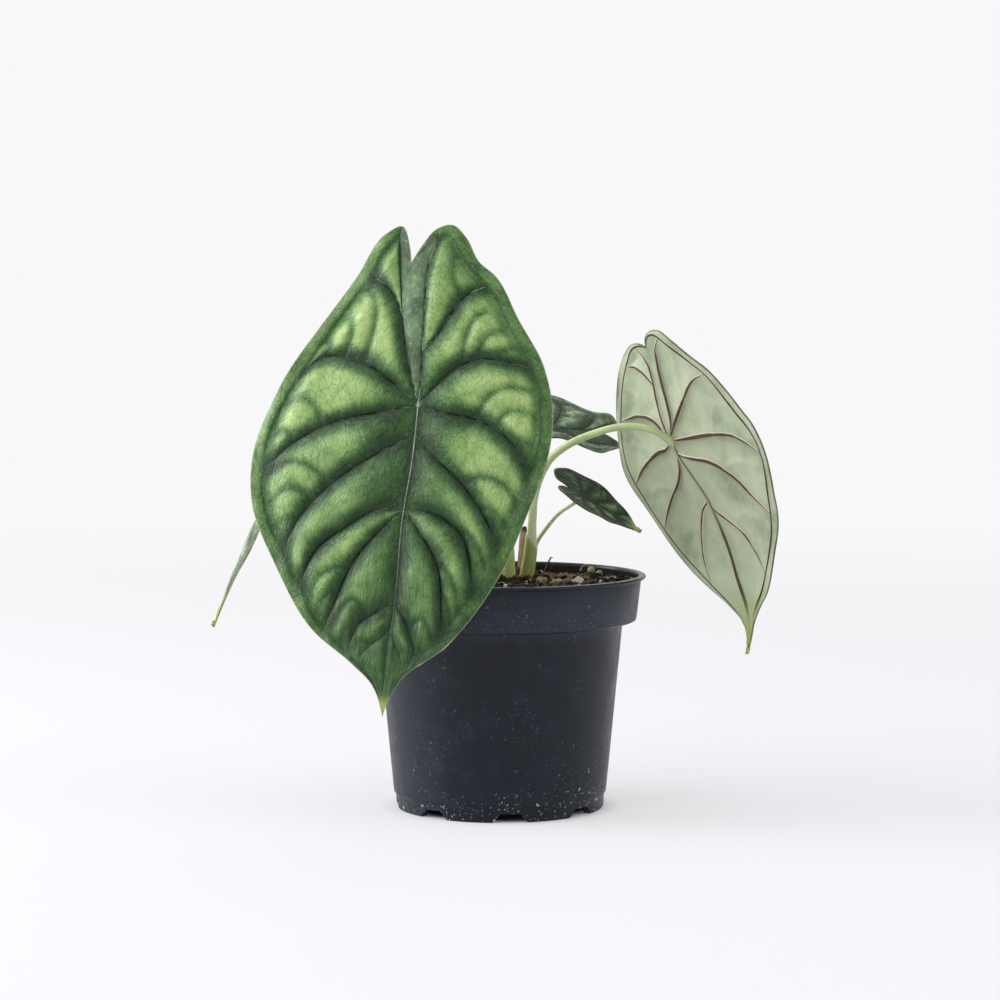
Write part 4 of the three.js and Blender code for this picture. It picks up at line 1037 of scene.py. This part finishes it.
# %% Building a rod along a line
def make_rod(bm, path, radii, around=28, step=1.2, sheath=None, seat=None):
    line = smooth_line(path)
    marks = np.concatenate([[0], np.cumsum(np.linalg.norm(np.diff(np.array(path, float), axis=0), axis=1))])
    marks /= marks[-1]
    rows = max(6, round(line.length / step))
    layers = bm.verts.layers.float
    verts = bmesh.ops.create_grid(bm, x_segments=around, y_segments=rows, size=0.5)["verts"]
    frames = []
    side = np.array([1.0, 0, 0])
    for row in range(rows + 1):
        f = row / rows
        along = unit(line(min(1, f + 0.005))[0] - line(max(0, f - 0.005))[0])
        side = unit(side - along * (side @ along))
        frames.append((line(f)[0], along, side, np.cross(along, side)))
    for vert in verts:
        x, y = vert.co.x + 0.5, vert.co.y + 0.5
        centre, forward, right, back = frames[round(y * rows)]
        i = min(len(marks) - 2, int(np.searchsorted(marks, y, side="right")) - 1)
        radius = radii[i] + (radii[i + 1] - radii[i]) * float(ease(y, marks[i], marks[i + 1]))
        turn = math.tau * x
        wrapped = 0.0
        if sheath:
            mouth, thick, facing = sheath
            lip = mouth + SHEATH_SLANT * abs(math.sin((turn - facing) / 2))
            wrapped = 1 - float(ease(centre[2], lip - SHEATH_LIP, lip + SHEATH_LIP))
            radius += thick * (wrapped - 0.5)
        point = centre + radius * (math.cos(turn) * right + math.sin(turn) * back)
        if seat is not None and round(y * rows) == rows:
            point = point + forward * ((seat[0] - point) @ seat[1]) / (forward @ seat[1])
        vert.co = point * MM
        vert[layers["along"]] = y
        vert[layers["sheath"]] = wrapped
    return verts


# %% [markdown]
# A stalk is pale green, and deeper green where a sheath wraps its foot. Its upright part just above the rim
# is painted palest, as painted light, and below that it is painted darker, as painted shade near the soil.
# Fine fibres run up its skin. A little light passes through it, which subsurface scattering shows.

# %% Stalk finish
STALK_PALE = (0.56, 0.66, 0.33)
STALK_DEEP_AND_SHADE = (0.38, 0.46, 0.14)
f = Finish("stalk_pale_green", STALK_PALE, 0.36, 0.45)
place = f.place()
height = f.put("SeparateXYZ", {"Vector": place})["Z"]
fibre = f.use(streaks, Vector=place, Along=900.0, Across=900.0, Roughness=0.5)
cloud = f.noise(place, 120.0, 4.0)
f.paint(f.step(cloud, 0.35, 0.7), 1, tint(STALK_PALE, 0.8))
# Painted light: between 100 and 138 mm high the stalk is painted palest, standing in for light that falls on and
# shines through its upright part.
f.paint(f.times(f.step(height, 0.1, 0.114), f.step(height, 0.138, 0.124)), 0.85, (0.92, 0.98, 0.64))
# Darker below 104 mm: partly the deeper green of the stalk's foot, partly painted shade near the soil.
f.paint(f.step(height, 0.104, 0.092), 0.5, STALK_DEEP_AND_SHADE)
f.paint(f.mark("sheath"), 0.8, STALK_DEEP_AND_SHADE)
f.paint(f.step(fibre, 0.5, 0.75), 0.25, tint(STALK_PALE, 1.25))
SEEN_THROUGH = (0.0015, 0.002, 0.0008)
f.fill(f.skin, {"Subsurface Weight": 0.1, "Subsurface Radius": SEEN_THROUGH, "Subsurface Scale": 1.0})
stalk_pale = f.done(height=f.plus(fibre, cloud), strength=0.15, depth_mm=0.1)
print("stalk finish:", len(f.tree.nodes), "nodes")

# %% The five stalks
for name, stalk in STALKS.items():
    leaf = LEAVES[name]
    facing = leaf_axes(leaf)[2]
    seat = np.array(leaf["at"]) - facing * (BLADE + 0.6 * float(midrib_height(leaf, 0)))
    bm = heap("along", "sheath")
    make_rod(bm, stalk["path"] + [tuple(seat)], stalk["radii"], sheath=stalk["sheath"], seat=(seat, facing),
             around=28 if stalk["radii"][0] > 1 else 16)
    close_tubes(bm)
    new_piece("leafstalk_" + name, bm, [stalk_pale], "stalk_" + name, sharp=60)

# %% [markdown]
# ## Peat, bark and crumbs
# From the side only the things that stick up are seen: crumbs, bark chips, a few thin dry roots and
# white perlite grains. The bed itself is one round sheet with a skirt down to the pot's floor, and the
# loose things are small rough lumps set on it at random.


# %% Peat finishes
def crumbly(name, stops, scale, rough=0.9, shaded=False, bump_mm=0.4):
    """A finish for broken stuff: noise picks the tone, and each lump's own shade shifts it."""
    f = Finish(name, stops[1][1], rough, 0.2)
    place = f.place()
    coarse = f.noise(place, scale, 6.0, 0.7)
    fibre = f.use(streaks, Vector=place, Along=700.0, Across=2600.0, Roughness=0.7)
    tone = f.sum([(coarse, 0.6), (fibre, 0.4)])
    if shaded:
        tone = f.plus(tone, f.times(f.minus(f.mark("shade"), 0.5), 0.9))
    f.color = f.ramp(tone, stops)
    return f.done(f.step(coarse, 0.3, 0.7, rough - 0.15, rough), tone, 0.7, bump_mm)


peat = crumbly("peat_dark", [(0.25, (0.005, 0.004, 0.004)), (0.5, (0.016, 0.012, 0.009)),
                             (0.8, (0.06, 0.042, 0.028))], 420.0, bump_mm=0.8)
crumb = crumbly("peat_crumb", [(0.15, (0.006, 0.005, 0.005)), (0.48, (0.03, 0.02, 0.015)),
                               (0.75, (0.14, 0.095, 0.065)), (1.0, (0.34, 0.27, 0.19))], 900.0, shaded=True)
bark = crumbly("bark_brown", [(0.2, (0.014, 0.009, 0.007)), (0.5, (0.1, 0.07, 0.046)),
                              (0.72, (0.27, 0.21, 0.12)), (1.0, (0.48, 0.41, 0.27))], 900.0, 0.8, shaded=True)
pale_wood = crumbly("pale_wood", [(0.3, (0.28, 0.2, 0.13)), (0.45, (0.56, 0.47, 0.36)),
                                  (0.7, (0.74, 0.68, 0.58))], 500.0, 0.75)
perlite = crumbly("perlite_white", [(0.3, (0.4, 0.39, 0.36)), (0.6, (0.74, 0.73, 0.7))], 1500.0, 0.85)
corm_green = crumbly("corm_green", [(0.36, (0.13, 0.09, 0.04)), (0.46, (0.32, 0.33, 0.12)),
                                    (0.62, (0.62, 0.6, 0.38))], 380.0, 0.6, bump_mm=0.2)
root_brown = crumbly("root_brown", [(0.3, (0.05, 0.034, 0.026)), (0.5, (0.13, 0.095, 0.07)),
                                    (0.8, (0.32, 0.26, 0.2))], 800.0, 0.8, shaded=True)
husk = crumbly("husk_red_brown", [(0.2, (0.03, 0.012, 0.008)), (0.45, (0.13, 0.045, 0.022)),
                                  (0.7, (0.26, 0.13, 0.06)), (0.95, (0.45, 0.34, 0.18))], 500.0, 0.75,
               shaded=True)
print("crumbly finishes:", peat.name, crumb.name, bark.name, pale_wood.name, perlite.name, root_brown.name)

# %% [markdown]
# The bed lies a little unevenly and drops at the wall and under the crown. A square grid pressed into a
# disc keeps its faces even in size, where a fan of triangles would crowd at the centre. Noise lifts each
# point, and the open edge is extruded down the inside of the pot.

# %% Peat bed: a round sheet with a skirt
SOIL_TOP = 93.4
SOIL_RADIUS = 56.2
CROWN_AT = (4.5, 4.5)
CROWN_RADIUS = 13
CRUMBS, CLODS, GRAINS, CHIPS, ROOTS, CROWN_BITS = 1500, 90, 70, 110, 46, 170
SKIRT = [(54.7, 80), (48.9, 77), (42.2, 7.6), (40, 6.1)]


def soil_height(x, y):
    heaped = 0.9 * math.sin(0.13 * x + 1) * math.sin(0.11 * y + 2)
    rough = 1.0 * noise.noise(Vector((x, y, 3)) / 3.5) + 0.7 * noise.noise(Vector((x, y, 9)) / 1.3)
    wall = float(ease(math.hypot(x, y), 56.3, 50))
    sunk = 2 * float(ease(math.dist((x, y), CROWN_AT), 13, 10))
    sunk += 1.8 * float(ease(y, 8, 24)) * float(ease(x, 5, 15))
    sunk -= 1.5 * math.exp(-((x - 25) / 11) ** 2 - ((y + 3) / 9) ** 2)
    return SOIL_TOP + (heaped + rough) * wall - 0.5 * (1 - wall) - sunk


bm = bmesh.new()
bmesh.ops.create_grid(bm, x_segments=150, y_segments=150, size=1)
for vert in bm.verts:
    x, y = vert.co.x, vert.co.y
    x, y = SOIL_RADIUS * x * math.sqrt(1 - y * y / 2), SOIL_RADIUS * y * math.sqrt(1 - x * x / 2)
    vert.co = Vector((x, y, soil_height(x, y))) * MM
lip = [edge for edge in bm.edges if edge.is_boundary]
for radius, height in SKIRT:
    made = bmesh.ops.extrude_edge_only(bm, edges=lip)["geom"]
    lip = [item for item in made if isinstance(item, bmesh.types.BMEdge)]
    for vert in {vert for edge in lip for vert in edge.verts}:
        flat = Vector((vert.co.x, vert.co.y, 0)).normalized()
        vert.co = (flat * radius + Vector((0, 0, height))) * MM
bmesh.ops.edgeloop_fill(bm, edges=lip)
new_piece("peat_bed", bm, [peat], "soil", sharp=80)

# %% [markdown]
# Loose crumbs and white perlite grains make peat look like peat from near. Each is a small ball whose
# points are pushed in and out at random, and its own `shade` says how pale it is. All crumbs together
# are one piece, and a fixed seed gives the same peat each time.


# %% Loose things on the peat
def lump(bm, at, size, squash, detail, shade, chance, jag=0.3):
    """A small rough lump of `size` mm radius; `at` is its centre."""
    layer = bm.verts.layers.float["shade"]
    turn = Matrix.Rotation(chance.uniform(0, math.tau), 3, "Z")
    turn = turn @ Matrix.Rotation(chance.uniform(-0.6, 0.6), 3, "X")
    for vert in bmesh.ops.create_icosphere(bm, subdivisions=detail, radius=1)["verts"]:
        rough = 1 + chance.uniform(-jag, jag)
        shape = Vector((vert.co.x * 1.25, vert.co.y * 0.9, vert.co.z * squash)) * (size * rough)
        vert.co = (turn @ shape + Vector(at)) * MM
        vert[layer] = shade


def spot(chance, inner=0.0, outer=54.5):
    """A random place on the peat, in mm."""
    turn = chance.uniform(0, math.tau)
    reach = math.sqrt(chance.uniform(inner ** 2, outer ** 2))
    x, y = reach * math.cos(turn), reach * math.sin(turn)
    return x, y, soil_height(x, y)


chance = random.Random(4)
bm = heap("shade")
for _ in range(CRUMBS):
    x, y, z = spot(chance)
    size = 0.35 + 1.1 * chance.random() ** 2.5
    lump(bm, (x, y, z + 0.2 * size), size, chance.uniform(0.5, 0.9), 1, chance.random() ** 1.6, chance)
for _ in range(CLODS):
    x, y, z = spot(chance)
    size = chance.uniform(1.1, 1.9)
    lump(bm, (x, y, z + 0.25 * size), size, chance.uniform(0.5, 0.8), 2, chance.random() ** 1.4, chance, 0.22)
new_piece("peat_crumbs", bm, [crumb], sharp=30)

bm = heap("shade")
for _ in range(GRAINS):
    x, y, z = spot(chance)
    lump(bm, (x, y, z + 0.4), chance.uniform(0.3, 0.75), 0.8, 1, 0.5, chance, 0.2)
for x, y, size in [(41.2, -10.7, 0.75), (32.2, 38, 0.6), (33.5, 46, 0.5), (2.5, -24, 1.0), (50.5, 6, 0.7),
                   (47.5, 1, 0.5), (44.5, -4, 0.55), (26, 14, 0.5), (49, 17, 0.6)]:
    lump(bm, (x, y, soil_height(x, y) + 0.6), size, 0.8, 2, 0.5, chance, 0.12)
new_piece("perlite_grains", bm, [perlite], sharp=40)

# %% [markdown]
# Bark breaks into flat angular chips. A jagged outline is extruded, and its edges are bevelled because a
# broken edge is never quite sharp. The large chips that the camera sees are listed one by one, and the others
# fall at random.


# %% Bark chips
def chip(bm, at, length, width, thick, turn, tilt, shade, chance, corners=10):
    """A flat angular chip: a jagged outline, extruded and bevelled."""
    layer = bm.verts.layers.float["shade"]
    made = bmesh.ops.create_circle(bm, cap_ends=True, segments=corners, radius=0.5)["verts"]
    for vert in made:
        vert.co = Vector((vert.co.x * length, vert.co.y * width, 0)) * chance.uniform(0.65, 1.2)
    top = bmesh.ops.extrude_face_region(bm, geom=[made[0].link_faces[0]])["geom"]
    raised = [item for item in top if isinstance(item, bmesh.types.BMVert)]
    for vert in raised:
        vert.co = vert.co * chance.uniform(0.6, 1.0) + Vector((0, 0, thick * chance.uniform(0.45, 1.1)))
    verts = made + raised
    edges = list({edge for vert in verts for edge in vert.link_edges})
    verts += bmesh.ops.bevel(bm, geom=edges, offset=0.06 * thick, segments=1, profile=0.5, affect="EDGES",
                             material=-1)["verts"]
    place = Matrix.Translation(at) @ Matrix.Rotation(turn, 4, "Z") @ Matrix.Rotation(tilt, 4, "X")
    for vert in {vert for vert in verts if vert.is_valid}:
        vert.co = place @ vert.co * MM
        vert[layer] = shade


BARK = [
    # x, y, length, width, thickness, turn, tilt, shade
    (20.5, 0.5, 9, 4, 2.6, 0.2, 0.35, 0.6), (27.5, 3, 9, 4, 3.0, -0.1, 0.5, 0.72),
    (22.9, -19, 5, 4, 3, 0.5, 0.3, 0.85), (17, -12, 6, 4, 2.4, -0.4, 0.3, 0.7),
    (26, -9, 7, 4, 2.2, 0.3, 0.2, 0.65), (35, -4, 5, 3, 2, 1.0, 0.4, 0.6),
    (16.5, -19, 4.5, 3, 1.6, 1.2, 0.2, 0.55), (36, 11, 4, 3, 2.4, 0.8, 0.7, 0.5),
    (37, -13, 4.5, 2.5, 1.5, -0.5, 0.5, 0.45), (34, 33, 4, 2, 2.0, 0.5, 0.9, 0.8),
    (12, -26, 5, 3, 1.5, 0.1, 0.3, 0.4), (26, -24, 5, 3, 1.2, 0.4, 0.1, 0.35), (45, 27, 5, 3, 1.6, 1.4, 0.4, 0.4),
    (-30, 20, 7, 4, 2, 0.4, 0.3, 0.5), (-18, 38, 6, 4, 2, 2.0, 0.2, 0.6),
]
bm = heap("shade")
for x, y, *form in BARK:
    chip(bm, (x, y, soil_height(x, y)), *form, chance)
for _ in range(CHIPS):
    x, y, z = spot(chance, inner=17)
    size = chance.uniform(1.2, 3.4)
    chip(bm, (x, y, z - 0.1), size * 1.4, size * 0.7, 0.3 * size, chance.uniform(0, 3.1),
         chance.uniform(-0.9, 0.9), chance.random() ** 1.5, chance, corners=7)
new_piece("bark_chips", bm, [bark], sharp=25)

bm = heap("shade")
chip(bm, (31.6, -17, soil_height(31.6, -17) + 1.4), 6.2, 4.8, 2.0, 0.3, 1.1, 0.5, chance, corners=4)
new_piece("pale_chip", bm, [pale_wood], sharp=25)

# %% [markdown]
# Young bulbs, called corms, sit on the peat near the right side as two small green balls. The dry roots
# are thin rods along short bent lines; two of them stand up above the rim.

# %% Corms
bm = heap("shade")
for x, y, size, squash, lift in [(38.3, 24, 1.75, 0.95, 3.2), (41.2, 13.2, 1.5, 1.1, 1.4)]:
    lump(bm, (x, y, soil_height(x, y) + lift), size, squash, 3, 0.5, chance, 0.03)
new_piece("corms", bm, [corm_green], sharp=80)


# %% Dry roots, drawn with the same rod as the stalks
def thread(bm, points, radius, shade):
    for vert in make_rod(bm, points, [radius] * (len(points) - 1) + [radius * 0.35], around=6, step=0.9):
        vert[bm.verts.layers.float["shade"]] = shade


bm = heap("along", "sheath", "shade")
thread(bm, [(18.1, 19.9, 93.5), (19, 19.8, 96), (20.3, 19.5, 99.2), (21.1, 19.4, 100.6), (21.3, 19, 101.4)],
       0.34, 0.5)
thread(bm, [(21.1, 19.4, 100.6), (21.9, 19.2, 101), (22.3, 19, 100.9)], 0.2, 0.5)
thread(bm, [(20.5, 19.9, 93.5), (20.9, 19.6, 95.5), (21.8, 19.2, 97.4), (23.4, 19, 98.4)], 0.3, 0.4)
thread(bm, [(15.8, 11, 93.5), (15.3, 11, 95.5), (14.8, 11, 97)], 0.28, 0.6)
thread(bm, [(34, 33, 94), (35, 33, 95.8), (36.6, 32.6, 96.6), (38, 32.4, 96.0)], 0.42, 1.0)
for _ in range(ROOTS):
    x, y, z = spot(chance, inner=14, outer=52)
    turn = chance.uniform(0, math.tau)
    length = chance.uniform(3, 9)
    points = []
    for i in range(4):
        px = x + (i / 3 - 0.5) * length * math.cos(turn) + chance.uniform(-0.7, 0.7)
        py = y + (i / 3 - 0.5) * length * math.sin(turn) + chance.uniform(-0.7, 0.7)
        if math.hypot(px, py) < 55:
            points.append((px, py, soil_height(px, py) + chance.uniform(0.3, 1.3)))
    if len(points) == 4:
        thread(bm, points, chance.uniform(0.12, 0.3), chance.uniform(0.1, 0.8))
close_tubes(bm)
new_piece("dry_roots", bm, [root_brown], sharp=60)

# %% [markdown]
# ## The crown and its husk
# The stalks grow from a short woody stem end. Old leaf bases stay round it as dry, reddish brown flakes:
# each is a small sheet, narrowed to its tip, curled outwards and given a thickness.


# %% Crown mound and husk flakes
FLAKE_THICKNESS = 0.22


def flake(bm, at, turn, length, width, lean, curl, shade):
    layer = bm.verts.layers.float["shade"]
    old = len(bm.faces)
    out = Vector((math.cos(turn), math.sin(turn), 0))
    side = Vector((-out.y, out.x, 0))
    for vert in bmesh.ops.create_grid(bm, x_segments=5, y_segments=8, size=0.5)["verts"]:
        x, y = vert.co.x * 2, vert.co.y + 0.5
        half = 0.5 * width * (1 - y ** 2.2) ** 0.7 * (0.75 + 0.25 * math.sin(3 * y))
        away = lean * y * length + curl * y * y * length - 0.25 * width * x * x
        rough = 0.25 * noise.noise(Vector((x * 2, y * 4, turn * 7)))
        up = Vector((0, 0, y * length * (1 - 0.3 * lean)))
        vert.co = (Vector(at) + side * half * x + out * (away + rough) + up) * MM
        vert[layer] = shade
    bm.faces.ensure_lookup_table()
    bmesh.ops.solidify(bm, geom=bm.faces[old:], thickness=FLAKE_THICKNESS * MM)


bm = heap("shade")
turned(bm, [(0, 84), (CROWN_RADIUS - 0.3, 84), (CROWN_RADIUS, 91), (12.3, 93), (10.5, 93.9), (8, 94.3),
            (5, 94.6), (2.5, 94.7), (0, 94.8)], 48)
bmesh.ops.subdivide_edges(bm, edges=bm.edges[:], cuts=2, use_grid_fill=True)
for vert in bm.verts:
    place = vert.co / MM
    push = 1.1 * noise.noise(place / 2.2) + 0.6 * noise.noise(place / 0.9)
    if place.z > 92:
        place.z += push
    vert.co = (place + Vector((*CROWN_AT, 0))) * MM
    vert[bm.verts.layers.float["shade"]] = 0.4 + 0.3 * noise.noise(place / 3)
chance = random.Random(11)
FLAKES = [
    # x, y, turn, length, width, lean, curl, shade
    (1, -8.2, -1.7, 4.6, 4.5, 0.5, 0.5, 0.55), (5.5, -8.0, -1.3, 4.2, 4.0, 0.55, 0.5, 0.7),
    (9.5, -5.8, -0.9, 4.0, 4.0, 0.6, 0.5, 0.45), (-2.5, -6.5, -2.2, 4.5, 4.5, 0.5, 0.5, 0.5),
    (7.2, 8.8, -1.4, 6.0, 2.6, 0.1, 0.1, 0.75), (9.8, 13.4, 1.2, 6.5, 3.2, 0.2, 0.2, 0.6),
    (6.2, 12.6, 2.6, 6.8, 3.0, 0.1, 0.15, 0.72), (13.6, 7.8, 0.3, 4.0, 3.4, 0.4, 0.4, 0.5),
    (13.2, -0.6, -0.6, 3.8, 3.6, 0.5, 0.5, 0.6), (5.2, 7.4, -2.0, 4.8, 2.4, 0.1, 0.2, 0.68),
    (-6.5, 3, 3.1, 4.5, 4.5, 0.5, 0.5, 0.45), (-3, 12, 2.2, 4.2, 4.5, 0.5, 0.4, 0.5),
    (4, 15.8, 1.6, 4.2, 4.4, 0.5, 0.4, 0.55),
]
for x, y, *form in FLAKES:
    flake(bm, (x, y, 93.2), *form)
for _ in range(CROWN_BITS):
    turn, reach = chance.uniform(0, math.tau), chance.uniform(4, 15.5)
    x, y = CROWN_AT[0] + reach * math.cos(turn), CROWN_AT[1] + reach * math.sin(turn)
    lump(bm, (x, y, 94.6 - 0.06 * reach + chance.uniform(0, 0.8)), chance.uniform(0.3, 0.9), 0.7, 1,
         chance.uniform(0.1, 1), chance)
new_piece("crown_husk", bm, [husk], "crown", sharp=40)

# %% [markdown]
# An old leaf stalk has dried to a thin brown point. Its skin has shrunk into ridges along its length.

# %% The dry stalk
f = Finish("dry_stalk_brown", (0.3, 0.2, 0.14), 0.7, 0.3)
place = f.place()
ridges = f.use(streaks, Vector=place, Along=1700.0, Across=1700.0, Roughness=0.6)
spots = f.noise(place, 500.0, 5.0, 0.7)
f.color = f.ramp(f.sum([(ridges, 0.65), (spots, 0.35)]), [(0.3, (0.1, 0.05, 0.03)), (0.42, (0.38, 0.24, 0.16)),
                                                         (0.58, (0.62, 0.46, 0.34)), (0.8, (0.7, 0.57, 0.42))])
f.paint(f.step(f.mark("along"), 0.88, 0.97), 1, (0.05, 0.028, 0.02))
dry = f.done(f.step(spots, 0.3, 0.7, 0.6, 0.8), ridges, 0.6, 0.3)

DRY_STALK = [(8.2, 12, STALK_FOOT), (8.4, 12, 94), (9.2, 12.2, 104), (9.5, 12.2, 110), (10.1, 12.1, 113.5),
             (10.6, 12, 114.6)]
middle = smooth_line(DRY_STALK)
bm = heap("along", "sheath")
for vert in make_rod(bm, DRY_STALK, [1.6, 1.6, 1.45, 1.35, 1.15, 0.4], around=36, step=0.5):
    centre = Vector(middle(vert[bm.verts.layers.float["along"]])[0]) * MM
    away = vert.co - centre
    turn = math.atan2(away.y, away.x)
    ridge = 0.13 * math.sin(5 * turn + 60 * vert.co.z) + 0.08 * noise.noise(vert.co / MM / 3)
    vert.co = centre + away * (1 + ridge)
close_tubes(bm)
new_piece("dry_stalk_tip", bm, [dry], "dry_stalk", sharp=60)

# %% [markdown]
# ## Floor and light
# The plant stands on a pale floor under large soft lights. The floor is one wide disc that fades into
# the same tone as the sky around it, so that no horizon shows in any view.

# %% Floor and sky
PALE = (0.94, 0.94, 0.95)
SKY_LIGHT = 0.8
ROOM_LIGHT = 0.1
bpy.context.scene.view_settings.view_transform = "Standard"
bm = bmesh.new()
bmesh.ops.create_circle(bm, cap_ends=True, radius=30, segments=96)
floor = to_object("floor", bm)
f = Finish("floor_paint", (0.6, 0.585, 0.63), 0.9, 0.1)
reach = f.vector("LENGTH", {0: f.place()}, "Value")
share = f.times(f.step(reach, 0.034, 0.052), f.step(reach, 0.2, 1.6, 0.6, 1.0))
glow = f.put("Emission", {"Color": rgba(PALE), "Strength": 1.0})[0]
fade = f.put("MixShader", {0: share, 1: f.skin.outputs[0], 2: glow})[0]
f.fill(f.tree.nodes["Material Output"], {"Surface": fade})
floor.data.materials.append(f.material)

world = bpy.data.worlds.new("studio")
bpy.context.scene.world = world
world.use_nodes = True
sky = Nodes(world.node_tree)
behind_camera = sky.vector("DOT_PRODUCT", {0: sky.place("Generated"), 1: (0.0, -1.0, 0.0)}, "Value")
lit = sky.tree.nodes["Background"]
strength = sky.step(behind_camera, 0.45, 0.9, SKY_LIGHT, ROOM_LIGHT)
sky.fill(lit, {"Color": rgba((0.97, 0.98, 1.0)), "Strength": strength})
plain = sky.put("Background", {"Color": rgba(PALE), "Strength": 1.0})[0]
either = sky.put("MixShader", {0: sky.put("LightPath", {})["Is Camera Ray"], 1: lit.outputs[0], 2: plain})[0]
sky.fill(sky.tree.nodes["World Output"], {"Surface": either})
print("sky light", SKY_LIGHT, "and room light", ROOM_LIGHT)

# %% [markdown]
# Four large soft lamps stand round the plant, all turned to its middle. The strongest is the window on the
# left, which brings out the swellings of the leaves.

# %% Lights
AIM = Vector((0, 0, 0.12))
for name, place, size, watts in [
        ("key_left", (-1.15, -0.85, 1.35), 1.4, 20), ("window_left", (-1.5, 0.12, 0.5), 1.1, 36),
        ("fill_right", (1.35, -0.5, 0.7), 1.3, 9.5), ("top", (0.1, 0.5, 1.7), 1.4, 4)]:
    lamp = bpy.data.lights.new(name, "AREA")
    lamp.size = size
    lamp.energy = watts
    lamp_object = bpy.data.objects.new(name, lamp)
    lamp_object.location = place
    lamp_object.rotation_euler = (AIM - Vector(place)).to_track_quat("-Z", "Y").to_euler()
    bpy.context.scene.collection.objects.link(lamp_object)
    print("lamp", name, "gives", watts, "W")

# %% [markdown]
